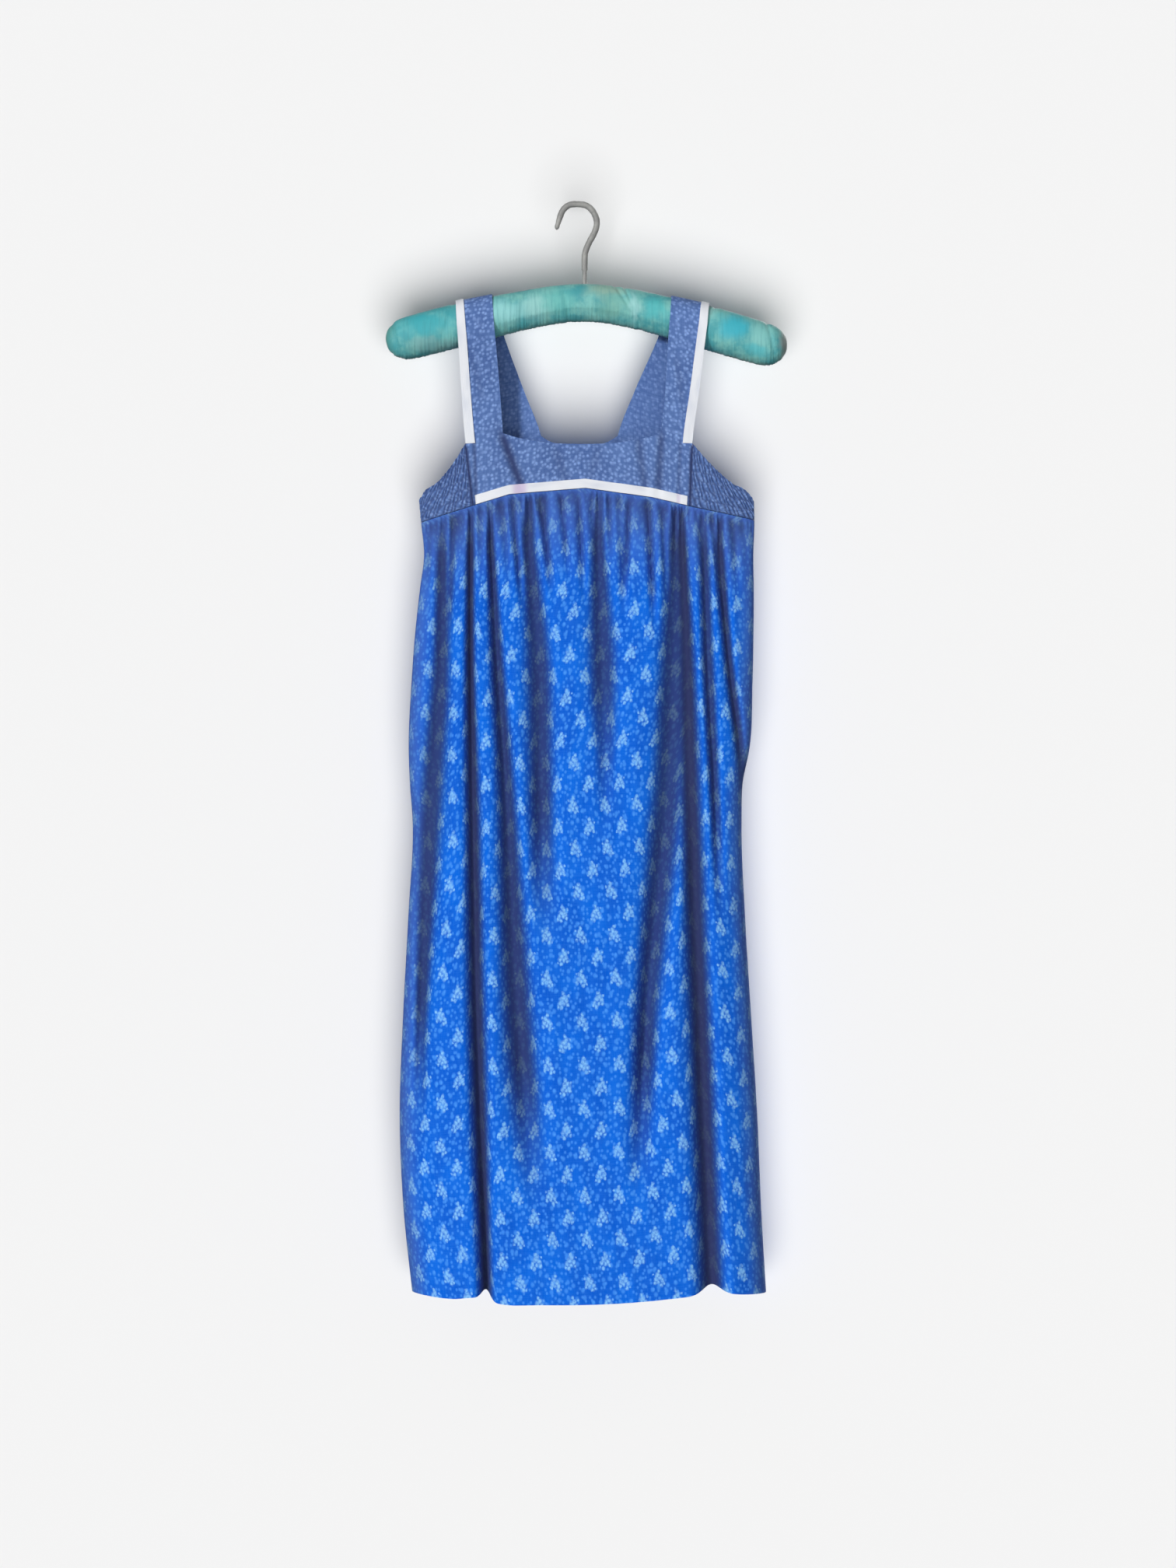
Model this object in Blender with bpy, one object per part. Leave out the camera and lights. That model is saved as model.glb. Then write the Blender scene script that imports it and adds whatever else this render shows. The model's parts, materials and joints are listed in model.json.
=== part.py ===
"""Sleeveless summer dress on a padded hanger.

Metres, +Z up. The origin is the inside of the hook's crown, where a rail carries the hanger.
The front of the dress faces -Y, so the wearer's right side is at -X and the left side at +X.
A "drop" is a distance down from the origin. An "across" is a distance from the middle line of
the dress, towards +X. "facing" is FRONT on the front pieces and BACK on the back pieces.
"""

import collections
import math

import bpy
import numpy as np

FRONT = -1
BACK = 1
MIDDLE_X = 0.0098  # the middle line of the dress and hanger, beside the hook's crown

# Cloth and seams
CLOTH_WALL = 0.0015
TAPE_WALL = 0.0010
SEAM_GAP = 0.0003
CHORD_ROOM = 0.0003  # for two curved edges that are divided at different places
TAPE_WIDTH = 0.0092

# Hanger: a padded arch, and a covered wire hook whose stem stands in it
PAD_DROP = 0.1009  # of its middle, under the hook
PAD_CROWN = 0.0144  # how softly the arch turns over at the middle
PAD_SLOPE = 0.28  # how steeply its arms fall
PAD_TILT = math.radians(1.0)
PAD_REACH = 0.2115
PAD_END = 0.022  # length of each rounded end
PAD_LAST_TURN = math.radians(82)  # where the end's curve stops in a small flat
PAD_DEPTH_SHARE = 0.84  # its depth, as a share of its height
HOOK_RADIUS = 0.00325
HOOK_TIP_RADIUS = 0.0024
HOOK_TAPER_POINTS = 1.5
STEM_BURIED = 0.012
STEM_ROOM = 0.0006

# Dress: levels of the bodice
PAD_CLEARANCE = 0.0006
STRAP_LEAVES_DROP = 0.122
YOKE_FOOT_DROP = 0.3155
NECK_CORNER_DROP = 0.2395
NECK_SAG = {FRONT: 0.0113, BACK: 0.0105}
NECK_SAG_POWER = {FRONT: 2.6, BACK: 12.0}
ARMHOLE_TOP_DROP = 0.2502
ARMHOLE_LOW_DROP = 0.3103
TAPE_END_DROP = 0.2500

# Skirt
EDGE_POWER = 4.0  # how squarely the cloth turns round at the side edges
SKIRT_PUFF = 0.0035
PUFF_LENGTH = 0.030
GATHER_SHARE = 0.38
GATHER_GROWS = 0.014
GATHER_SHORTEST = 0.030
GATHER_LONGEST = 0.085
COLUMNS_PER_GATHER = 4
GOLDEN = 0.618  # steps of this share never fall into a pattern
FOLD_GROWS = 0.070
FOLD_FADES = 0.140
HEM_LIFT = 0.35  # rise of the hem for each metre that a fold goes in
HEM_LIFT_POWER = 6  # so that it dies out a little way up
SHIRRING_HEIGHT = 0.0009
SHIRRING_AT_SEAM = 0.3

# How finely each piece is divided
ARC_STEPS = 5
STRAP_STEPS = 5
YOKE_STEPS = 4
STRAP_COLUMNS = 3
NECK_COLUMNS = 12
TAPE_SIDE_COLUMNS = 2
TAPE_NECK_COLUMNS = 8
SIDE_COLUMNS = 22
SIDE_STEPS = 5
SKIRT_COLUMNS = {FRONT: 96, BACK: 84}
SKIRT_LEVELS = {
    FRONT: (0, 0.018, 0.045, 0.085, 0.14, 0.22, 0.32, 0.43, 0.55, 0.67, 0.79, 0.90, 1),
    BACK: (0, 0.020, 0.055, 0.11, 0.19, 0.30, 0.42, 0.55, 0.68, 0.80, 0.91, 1),
}
PAD_RINGS = 17
PAD_END_RINGS = 5
PAD_RING_POINTS = 14
HOOK_RINGS = 40
HOOK_RING_POINTS = 8
HOLE_POINTS = 12

# The hanging dress in sections: reach of its right and left edges from the middle line, and
# how far its front stands forward of them, as its back stands behind them
Section = collections.namedtuple("Section", "drop right left depth")
OUTLINE = (
    Section(drop=0.240, right=0.1763, left=0.1770, depth=0.0160),
    Section(drop=0.310, right=0.1763, left=0.1767, depth=0.0155),
    Section(drop=0.333, right=0.1742, left=0.1771, depth=0.0165),
    Section(drop=0.368, right=0.1712, left=0.1760, depth=0.0195),
    Section(drop=0.400, right=0.1752, left=0.1765, depth=0.0220),
    Section(drop=0.443, right=0.1800, left=0.1763, depth=0.0250),
    Section(drop=0.503, right=0.1845, left=0.1751, depth=0.0280),
    Section(drop=0.569, right=0.1874, left=0.1722, depth=0.0305),
    Section(drop=0.607, right=0.1861, left=0.1648, depth=0.0320),
    Section(drop=0.646, right=0.1833, left=0.1636, depth=0.0335),
    Section(drop=0.748, right=0.1878, left=0.1673, depth=0.0370),
    Section(drop=0.848, right=0.1931, left=0.1734, depth=0.0400),
    Section(drop=0.962, right=0.1968, left=0.1804, depth=0.0430),
    Section(drop=1.060, right=0.1925, left=0.1845, depth=0.0450),
    Section(drop=1.143, right=0.1837, left=0.1894, depth=0.0460),
)

# Edges of a yoke and of the straps that are cut in one with it, across from the middle line
YokeEdge = collections.namedtuple("YokeEdge", "drop right_outer right_inner left_inner left_outer")
YOKE_EDGES = {
    FRONT: (
        YokeEdge(0.098, -0.1378, -0.1000, 0.0902, 0.1296),
        YokeEdge(0.142, -0.1345, -0.0959, 0.0861, 0.1243),
        YokeEdge(0.196, -0.1312, -0.0910, 0.0828, 0.1181),
        YokeEdge(0.240, -0.1279, -0.0877, 0.0787, 0.1121),
        YokeEdge(0.316, -0.1189, -0.0840, 0.0750, 0.1082),
    ),
    BACK: (
        YokeEdge(0.098, -0.1378, -0.1000, 0.0902, 0.1296),
        YokeEdge(0.142, -0.1345, -0.0869, 0.0760, 0.1243),
        YokeEdge(0.196, -0.1312, -0.0664, 0.0517, 0.1181),
        YokeEdge(0.240, -0.1279, -0.0480, 0.0330, 0.1121),
        YokeEdge(0.316, -0.1189, -0.0440, 0.0300, 0.1082),
    ),
}

# The seam round the dress under the bodice: it peaks in the middle of the front
SeamPoint = collections.namedtuple("SeamPoint", "across drop")
WAIST = {
    FRONT: (
        SeamPoint(-0.1742, 0.3325),
        SeamPoint(-0.1189, 0.3145),
        SeamPoint(-0.0443, 0.3012),
        SeamPoint(-0.0016, 0.2956),
        SeamPoint(0.0541, 0.3059),
        SeamPoint(0.1082, 0.3163),
        SeamPoint(0.1771, 0.3300),
    ),
    BACK: (
        SeamPoint(-0.1742, 0.3325),
        SeamPoint(-0.1189, 0.3160),
        SeamPoint(0.0, 0.3140),
        SeamPoint(0.1082, 0.3163),
        SeamPoint(0.1771, 0.3300),
    ),
}

# Fall of the armhole's edge from the strap to the side, as shares of its run and of its fall
ArmholePoint = collections.namedtuple("ArmholePoint", "run fall")
ARMHOLE = (
    ArmholePoint(0.0, 0.0),
    ArmholePoint(0.2, 0.24),
    ArmholePoint(0.4, 0.46),
    ArmholePoint(0.65, 0.69),
    ArmholePoint(0.9, 0.85),
    ArmholePoint(1.0, 1.0),
)

HEM = (
    SeamPoint(-0.1837, 1.1427),
    SeamPoint(-0.1386, 1.1515),
    SeamPoint(-0.0590, 1.1566),
    SeamPoint(0.0303, 1.1550),
    SeamPoint(0.0943, 1.1484),
    SeamPoint(0.1583, 1.1460),
    SeamPoint(0.1894, 1.1390),
)
HEM_RISE = {FRONT: 0.0, BACK: 0.003}

# Folds that run down the skirt: where each lies across at the four drops of FOLD_DROPS, the
# drops between which it shows, its half width, and its depth as a share of the skirt's
FOLD_DROPS = (0.355, 0.601, 0.847, 1.138)
Fold = collections.namedtuple("Fold", "high upper lower hem start end width share")
FOLDS = {
    FRONT: (
        Fold(-0.1476, -0.1574, -0.1740, -0.1700, 0.34, 0.92, 0.0075, 0.55),
        Fold(-0.1238, -0.1205, -0.1140, -0.1050, 0.32, 1.30, 0.0085, 0.70),
        Fold(-0.1009, -0.0853, -0.0713, -0.0443, 0.33, 1.05, 0.0080, 0.60),
        Fold(-0.0615, -0.0492, -0.0385, -0.0156, 0.33, 0.76, 0.0080, 0.55),
        Fold(0.0107, 0.0172, 0.0100, 0.0120, 0.33, 0.66, 0.0075, 0.55),
        Fold(0.0959, 0.0869, 0.0640, 0.0525, 0.33, 1.08, 0.0095, 0.66),
        Fold(0.1090, 0.1082, 0.1173, 0.1312, 0.40, 1.30, 0.0090, 0.70),
        Fold(0.1240, 0.1345, 0.1480, 0.1560, 0.33, 0.80, 0.0075, 0.50),
        Fold(0.1420, 0.1590, 0.1640, 0.1720, 0.33, 0.62, 0.0075, 0.55),
        Fold(-0.0740, -0.0680, -0.0600, -0.0560, 0.98, 1.30, 0.0150, 0.34),
        Fold(-0.0140, -0.0140, -0.0140, -0.0090, 0.90, 1.30, 0.0150, 0.22),
        Fold(0.0420, 0.0430, 0.0460, 0.0520, 1.00, 1.30, 0.0150, 0.34),
    ),
    BACK: (
        Fold(-0.1450, -0.1520, -0.1600, -0.1560, 0.33, 1.30, 0.0080, 0.60),
        Fold(-0.1120, -0.1060, -0.0980, -0.0960, 0.33, 0.95, 0.0085, 0.62),
        Fold(-0.0700, -0.0640, -0.0560, -0.0480, 0.33, 1.30, 0.0090, 0.68),
        Fold(-0.0260, -0.0250, -0.0180, -0.0100, 0.33, 0.72, 0.0080, 0.50),
        Fold(0.0220, 0.0260, 0.0330, 0.0380, 0.33, 1.30, 0.0090, 0.66),
        Fold(0.0700, 0.0760, 0.0800, 0.0870, 0.33, 0.90, 0.0085, 0.58),
        Fold(0.1100, 0.1140, 0.1220, 0.1300, 0.33, 1.30, 0.0085, 0.66),
        Fold(0.1450, 0.1480, 0.1520, 0.1600, 0.33, 0.68, 0.0075, 0.50),
    ),
}
FOLD_CROWD = 2.2  # extra columns at a fold and at the side edges, against plain cloth
EDGE_CROWD = 3.0
EDGE_WIDTH = 0.06
CROWD_REACH = 1.5  # of the crowding, in half widths of the fold

# Half height of the hanger's padding, by distance from its middle
PadSection = collections.namedtuple("PadSection", "distance half_height")
PAD_SECTIONS = (
    PadSection(0.0, 0.0197),
    PadSection(0.075, 0.0206),
    PadSection(0.140, 0.0228),
    PadSection(0.180, 0.0220),
    PadSection(0.2115, 0.0205),
)

# The hook's middle line, from its tip over the crown to the padding
HookPoint = collections.namedtuple("HookPoint", "x drop")
HOOK = (
    HookPoint(-0.0219, 0.0236),
    HookPoint(-0.0185, 0.0118),
    HookPoint(-0.0148, 0.0030),
    HookPoint(-0.0085, -0.0022),
    HookPoint(0.0, -0.00325),
    HookPoint(0.0090, -0.0020),
    HookPoint(0.0157, 0.0030),
    HookPoint(0.0202, 0.0118),
    HookPoint(0.0206, 0.0195),
    HookPoint(0.0178, 0.0278),
    HookPoint(0.0128, 0.0370),
    HookPoint(0.0091, 0.0462),
    HookPoint(0.0080, 0.0545),
    HookPoint(0.0080, 0.0780),
)

Finish = collections.namedtuple("Finish", "color roughness metallic")
FINISHES = {
    "bodice_calico": Finish((0.060, 0.110, 0.360), 0.85, 0.0),
    "skirt_calico": Finish((0.020, 0.130, 0.640), 0.85, 0.0),
    "white_tape": Finish((0.860, 0.880, 0.920), 0.80, 0.0),
    "teal_cloth": Finish((0.110, 0.440, 0.480), 0.70, 0.0),
    "covered_wire": Finish((0.300, 0.310, 0.300), 0.55, 0.2),
}


def clear_scene():
    for obj in list(bpy.data.objects):
        bpy.data.objects.remove(obj, do_unlink=True)


def make_materials():
    materials = {}
    for name, finish in FINISHES.items():
        material = bpy.data.materials.new(name)
        material.use_nodes = True
        shader = material.node_tree.nodes["Principled BSDF"]
        shader.inputs["Base Color"].default_value = (*finish.color, 1.0)
        shader.inputs["Roughness"].default_value = finish.roughness
        shader.inputs["Metallic"].default_value = finish.metallic
        materials[name] = material
    return materials


def smooth(keys, values, at):
    """Values on a smooth curve through the given ones, held level past its ends."""
    keys, values = np.array(keys, float), np.array(values, float)
    at = np.clip(at, keys[0], keys[-1])
    slopes = np.gradient(values, keys)
    low = np.clip(np.searchsorted(keys, at) - 1, 0, len(keys) - 2)
    step = keys[low + 1] - keys[low]
    t = (at - keys[low]) / step
    start = (1 + 2 * t) * (1 - t) ** 2 * values[low] + t * (1 - t) ** 2 * step * slopes[low]
    end = t * t * (3 - 2 * t) * values[low + 1] + t * t * (t - 1) * step * slopes[low + 1]
    return start + end


def smooth_column(rows, key, value, at):
    return smooth([getattr(row, key) for row in rows], [getattr(row, value) for row in rows], at)


def eased(t):
    t = np.clip(t, 0.0, 1.0)
    return t * t * (3 - 2 * t)


def mixed(a, b, t):
    return a + (b - a) * t


# Hanger


def pad_mid_drop(across):
    """Drop of the padding's middle line."""
    arch = np.sqrt(PAD_CROWN**2 + (PAD_SLOPE * across) ** 2) - PAD_CROWN
    return PAD_DROP + arch + across * math.tan(PAD_TILT)


def pad_half_height(across):
    return smooth_column(PAD_SECTIONS, "distance", "half_height", abs(across))


def pad_top_drop():
    return pad_mid_drop(0.0) - pad_half_height(0.0)


def pad_places():
    """Across of each ring of the padding, and its size as a share of the full one. The ends
    close in quarters of an ellipse."""
    straight = PAD_REACH - PAD_END
    turns = np.linspace(0, PAD_LAST_TURN, PAD_END_RINGS + 1)[1:]
    end = [(straight + PAD_END * math.sin(turn), math.cos(turn)) for turn in turns]
    middle = [(across, 1.0) for across in np.linspace(-straight, straight, PAD_RINGS)]
    return [(-across, share) for across, share in reversed(end)] + middle + end


def pad_rings():
    angles = np.arange(PAD_RING_POINTS) * 2 * math.pi / PAD_RING_POINTS
    for across, closing in pad_places():
        fall = pad_mid_drop(across + PAD_END / 2) - pad_mid_drop(across - PAD_END / 2)
        lean = -math.atan2(fall, PAD_END)
        half = pad_half_height(across) * closing
        yield [
            (
                MIDDLE_X + across - half * math.sin(a) * math.sin(lean),
                half * PAD_DEPTH_SHARE * math.cos(a),
                -pad_mid_drop(across) + half * math.sin(a) * math.cos(lean),
            )
            for a in angles
        ]


def hook_rings():
    """Rings round the hook's middle line, thinner at its tip. The last is inside the padding."""
    places = range(len(HOOK))
    steps = np.linspace(0, places[-1], HOOK_RINGS)
    x = smooth(places, [point.x for point in HOOK], steps)
    z = -smooth(places, [point.drop for point in HOOK], steps)
    z[-1] = -(pad_top_drop() + STEM_BURIED)
    radius = mixed(HOOK_TIP_RADIUS, HOOK_RADIUS, eased(steps / HOOK_TAPER_POINTS))
    along_x = np.gradient(x)
    along_z = np.gradient(z)
    length = np.hypot(along_x, along_z)
    angles = np.arange(HOOK_RING_POINTS) * 2 * math.pi / HOOK_RING_POINTS
    for i in range(HOOK_RINGS):
        side_x, side_z = -along_z[i] / length[i], along_x[i] / length[i]
        yield [
            (
                x[i] + radius[i] * math.cos(a) * side_x,
                radius[i] * math.sin(a),
                z[i] + radius[i] * math.cos(a) * side_z,
            )
            for a in angles
        ]


def lofted(name, rings, material, clockwise=False):
    """A closed solid through rings of points, with a flat face at each end. The rings turn
    anticlockwise as seen from the last, or else are marked clockwise."""
    rings = list(rings)
    count = len(rings[0])
    points = [point for ring in rings for point in ring]
    faces = []
    for i in range(len(rings) - 1):
        for j in range(count):
            k = (j + 1) % count
            faces.append((i * count + j, i * count + k, (i + 1) * count + k, (i + 1) * count + j))
    last = (len(rings) - 1) * count
    faces.append(tuple(range(count))[::-1])
    faces.append(tuple(range(last, last + count)))
    if clockwise:
        faces = [face[::-1] for face in faces]
    return new_object(name, points, faces, material)


def new_object(name, points, faces, material):
    mesh = bpy.data.meshes.new(name)
    mesh.from_pydata([tuple(map(float, point)) for point in points], [], faces)
    mesh.materials.append(material)
    mesh.shade_smooth()
    mesh.set_sharp_from_angle(angle=math.radians(50))
    obj = bpy.data.objects.new(name, mesh)
    bpy.context.scene.collection.objects.link(obj)
    return obj


def make_hanger(materials):
    padding = lofted("hanger_padding", pad_rings(), materials["teal_cloth"])
    lofted("hanger_hook", hook_rings(), materials["covered_wire"], clockwise=True)
    # A blind hole holds the stem. Its cutter runs on above the padding by as much as it sinks.
    angles = np.arange(HOLE_POINTS) * 2 * math.pi / HOLE_POINTS
    radius = HOOK_RADIUS + STEM_ROOM
    depth = STEM_BURIED + SEAM_GAP
    rings = [
        [(HOOK[-1].x + radius * math.cos(a), radius * math.sin(a), z - pad_top_drop()) for a in angles]
        for z in (-depth, depth)
    ]
    cutter = lofted("stem_hole", rings, materials["covered_wire"])
    cutter.hide_render = True
    cutter.display_type = "WIRE"
    hole = padding.modifiers.new("stem_hole", "BOOLEAN")
    hole.operation = "DIFFERENCE"
    hole.object = cutter


# Dress


def reach_at(across, drop):
    """Distance of the dress's edge from the middle line, on this point's side of it."""
    right = smooth_column(OUTLINE, "drop", "right", drop)
    left = smooth_column(OUTLINE, "drop", "left", drop)
    return np.where(np.asarray(across) < 0, right, left)


def depth_at(across, drop, puff=0.0):
    """How far the dress's face stands off its middle plane."""
    share = np.clip(np.abs(across) / reach_at(across, drop), 0, 1)
    full = smooth_column(OUTLINE, "drop", "depth", drop) + puff
    return full * np.sqrt(1 - share**EDGE_POWER)


def point_on(across, y, drop):
    return np.stack(np.broadcast_arrays(MIDDLE_X + across, y, -np.asarray(drop)), axis=-1)


def waist_drop(across, facing):
    return smooth_column(WAIST[facing], "across", "drop", across)


def neck_drop(across, facing):
    """Drop of the neckline, which sags between the straps. Under the straps it is level."""
    corner = YOKE_EDGES[facing][3]
    middle = (corner.right_inner + corner.left_inner) / 2
    half = (corner.left_inner - corner.right_inner) / 2
    share = np.clip(np.abs(across - middle) / half, 0, 1)
    return NECK_CORNER_DROP + NECK_SAG[facing] * (1 - share ** NECK_SAG_POWER[facing])


def yoke_across(facing, laterals, drops):
    """Across from a lateral place: 0, 1, 2 and 3 are the straps' edges from right to left."""
    laterals, drops = np.broadcast_arrays(np.asarray(laterals, float), drops)
    edges = np.array(
        [smooth_column(YOKE_EDGES[facing], "drop", name, drops) for name in YokeEdge._fields[1:]]
    )
    low = np.clip(np.floor(laterals).astype(int), 0, 2)
    here = np.take_along_axis(edges, low[None], 0)[0]
    beside = np.take_along_axis(edges, low[None] + 1, 0)[0]
    return mixed(here, beside, laterals - low)


def yoke_row(facing, laterals, level):
    """Outer points across a yoke. Its level is 0 at the shoulder seam on top of the hanger, 1
    where the strap leaves the padding, 2 at the neckline and 3 at the seam to the skirt."""
    levels = (0, 1, 2, 3)
    drops = (YOKE_EDGES[facing][0].drop, STRAP_LEAVES_DROP, NECK_CORNER_DROP, YOKE_FOOT_DROP)
    across = yoke_across(facing, laterals, np.interp(level, levels, drops))
    half_up = pad_half_height(across) / math.cos(math.atan(PAD_SLOPE)) + PAD_CLEARANCE + CLOTH_WALL
    half_out = pad_half_height(across) * PAD_DEPTH_SHARE + PAD_CLEARANCE + CLOTH_WALL
    middle = pad_mid_drop(across)
    if level <= 1:
        turn = math.pi / 2 * (1 - level)
        y = half_out * math.cos(turn)
        drop = middle - half_up * math.sin(turn)
    elif level <= 2:
        t = level - 1
        neck = neck_drop(across, facing)
        drop = mixed(middle, neck, t)
        y = mixed(half_out, depth_at(across, neck), eased(t))
    else:
        for _ in range(3):
            waist = waist_drop(across, facing) - SEAM_GAP
            drop = mixed(neck_drop(across, facing), waist, level - 2)
            across = yoke_across(facing, laterals, drop)
        y = depth_at(across, drop)
    return point_on(across, facing * np.maximum(y, SEAM_GAP / 2), drop)


def grid_normals(grid):
    """Unit normals of a grid whose rows run down and whose columns run to the right, as seen
    from outside."""
    down = np.gradient(grid, axis=0)
    right = np.gradient(grid, axis=1)
    normals = np.cross(down, right)
    return normals / np.linalg.norm(normals, axis=2, keepdims=True)


def cloth_wall(name, rows, material, facing=0, wall=CLOTH_WALL, level_rims=False, keep=None, raised=None):
    """A closed wall of cloth. Its rows are outer points, and its inner points lie a wall behind
    them. A front or back piece keeps to its own side of the side seams. keep(row, column) says
    which cells are cloth, and raised lifts outer points off a plain inside."""
    outer = np.array(rows)
    normals = grid_normals(outer)
    if level_rims:
        normals[..., 2] = 0
        normals /= np.linalg.norm(normals, axis=2, keepdims=True)
    inner = outer - wall * normals
    if facing:
        inner[..., 1] = facing * np.maximum(facing * inner[..., 1], SEAM_GAP / 2)
    if raised is not None:
        outer = outer + raised[..., None] * normals
    height, width = outer.shape[:2]
    points = np.concatenate([outer.reshape(-1, 3), inner.reshape(-1, 3)])
    back = height * width
    faces = []
    edges = set()
    for i in range(height - 1):
        for j in range(width - 1):
            if keep and not keep(i, j):
                continue
            a, b = i * width + j, (i + 1) * width + j
            # Both sides of the wall are cut along the diagonal that changes less in depth, which
            # runs with the folds, so the sides can't cross where a cell is twisted.
            if abs(outer[i, j, 1] - outer[i + 1, j + 1, 1]) < abs(outer[i + 1, j, 1] - outer[i, j + 1, 1]):
                halves = ((a, b, b + 1), (a, b + 1, a + 1))
            else:
                halves = ((a, b, a + 1), (b, b + 1, a + 1))
            for face in halves:
                faces.append(face)
                faces.append(tuple(corner + back for corner in face[::-1]))
            rim = (a, b, b + 1, a + 1)
            edges.update(zip(rim, rim[1:] + rim[:1]))
    for start, end in sorted(edges):
        if (end, start) not in edges:
            faces.append((end, start, start + back, end + back))
    used = sorted({corner for face in faces for corner in face})
    place = {corner: i for i, corner in enumerate(used)}
    faces = [tuple(place[corner] for corner in face) for face in faces]
    return new_object(name, points[used], faces, material)


def from_outside(row, facing):
    """The row with its points in order from left to right, as seen from outside."""
    return row if facing == FRONT else row[::-1]


def yoke_levels():
    arc = np.linspace(0, 1, ARC_STEPS + 1)
    strap = np.linspace(1, 2, STRAP_STEPS + 1)[1:]
    yoke = np.linspace(2, 3, YOKE_STEPS + 1)[1:]
    return np.concatenate([arc, strap, yoke])


def make_yoke(name, facing, material):
    """The bodice's middle panel, cut in one with its straps."""
    laterals = np.concatenate(
        [
            np.linspace(0, 1, STRAP_COLUMNS + 1),
            np.linspace(1, 2, NECK_COLUMNS + 1)[1:],
            np.linspace(2, 3, STRAP_COLUMNS + 1)[1:],
        ]
    )
    rows = [from_outside(yoke_row(facing, laterals, level), facing) for level in yoke_levels()]
    neck_row = ARC_STEPS + STRAP_STEPS

    def keep(row, column):
        return row >= neck_row or not STRAP_COLUMNS <= column < STRAP_COLUMNS + NECK_COLUMNS

    cloth_wall(name, rows, material, facing, keep=keep)


def seam_across(facing, side, drop):
    """Across of the seam between a yoke and its side panel."""
    return yoke_across(facing, 0 if side < 0 else 3, drop) + side * SEAM_GAP


def make_side_panel(name, facing, side, material):
    """A panel under the arm, from the yoke to the side seam, crinkled by elastic stitching."""
    runs = np.linspace(0, 1, SIDE_COLUMNS + 1)
    falls = smooth_column(ARMHOLE, "run", "fall", runs)
    tops = mixed(ARMHOLE_TOP_DROP, ARMHOLE_LOW_DROP, falls)
    lows = np.full_like(tops, ARMHOLE_LOW_DROP)
    for _ in range(3):
        across = mixed(seam_across(facing, side, lows[0]), side * reach_at(side, lows), runs)
        lows = waist_drop(across, facing) - SEAM_GAP
    rows = []
    for level in np.linspace(0, 1, SIDE_STEPS + 1):
        drops = mixed(tops, lows, level)
        inner = seam_across(facing, side, drops)
        across = mixed(inner, side * reach_at(side, drops), runs)
        y = facing * (depth_at(across, drops) + SEAM_GAP / 2)
        row = point_on(across, y, drops)
        rows.append(row if side * facing < 0 else row[::-1])
    ridge = SHIRRING_HEIGHT * (np.arange(SIDE_COLUMNS + 1) % 2)
    ridge[[0, -1]] = 0
    raised = np.tile(ridge, (SIDE_STEPS + 1, 1))
    raised[-1] *= SHIRRING_AT_SEAM
    cloth_wall(name, rows, material, facing, level_rims=True, raised=raised)


def fold_across(fold, drop):
    return smooth(FOLD_DROPS, (fold.high, fold.upper, fold.lower, fold.hem), drop)


def skirt_columns(facing, drop):
    """Places across the skirt from its right edge to its left, as shares of its reach, crowded
    where the folds run."""
    shares = np.linspace(-1, 1, 601)
    across = shares * reach_at(shares, drop)
    crowd = 1 + EDGE_CROWD * np.exp(-(((1 - np.abs(shares)) / EDGE_WIDTH) ** 2))
    for fold in FOLDS[facing]:
        off = (across - fold_across(fold, drop)) / (CROWD_REACH * fold.width)
        crowd += FOLD_CROWD * np.exp(-(off**2))
    total = np.concatenate([[0], np.cumsum((crowd[1:] + crowd[:-1]) / 2 * np.diff(across))])
    count = SKIRT_COLUMNS[facing]
    return np.interp(np.linspace(0, total[-1], count + 1), total, shares)


def fold_share(facing, across, drop):
    """How far the folds take the cloth in, as a share of the skirt's depth there."""
    left_out = np.ones_like(across)
    for fold in FOLDS[facing]:
        grown = eased((drop - fold.start) / FOLD_GROWS)
        strength = grown * eased((fold.end - drop) / FOLD_FADES)
        off = (across - fold_across(fold, drop)) / fold.width
        left_out *= 1 - fold.share * strength * np.exp(-(off**2))
    return 1 - left_out


def gather_share(count, below_seam):
    """How far the gathers under the seam take each column in: uneven, and soon gone."""
    columns = np.arange(count + 1)
    wave = (1 - np.cos(2 * math.pi * columns / COLUMNS_PER_GATHER)) / 2
    uneven = (columns // COLUMNS_PER_GATHER * GOLDEN) % 1
    length = mixed(GATHER_SHORTEST, GATHER_LONGEST, uneven)
    grown = eased(below_seam / GATHER_GROWS)
    return GATHER_SHARE * wave * grown * eased(1 - below_seam / length)


def make_skirt(name, facing, material):
    rows = []
    for level in SKIRT_LEVELS[facing]:
        nominal = mixed(WAIST[facing][2].drop, HEM[2].drop, level)
        shares = skirt_columns(facing, nominal)
        drop = nominal
        for _ in range(3):
            across = shares * reach_at(shares, drop)
            top = waist_drop(across, facing) + CHORD_ROOM
            low = smooth_column(HEM, "across", "drop", across) - HEM_RISE[facing]
            drop = mixed(top, low, level)
        below = drop - top
        taken = 1 - (1 - fold_share(facing, across, drop)) * (
            1 - gather_share(SKIRT_COLUMNS[facing], below)
        )
        puff = SKIRT_PUFF * eased(below / PUFF_LENGTH)
        depth = depth_at(across, drop, puff)
        drop = drop - HEM_LIFT * depth * taken * level**HEM_LIFT_POWER
        y = facing * (depth * (1 - taken) + SEAM_GAP / 2)
        rows.append(from_outside(point_on(across, y, drop), facing))
    cloth_wall(name, rows, material, facing, level_rims=True)


def moved_out(rows, distance):
    grid = np.array(rows)
    return grid + distance * grid_normals(grid)


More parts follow.
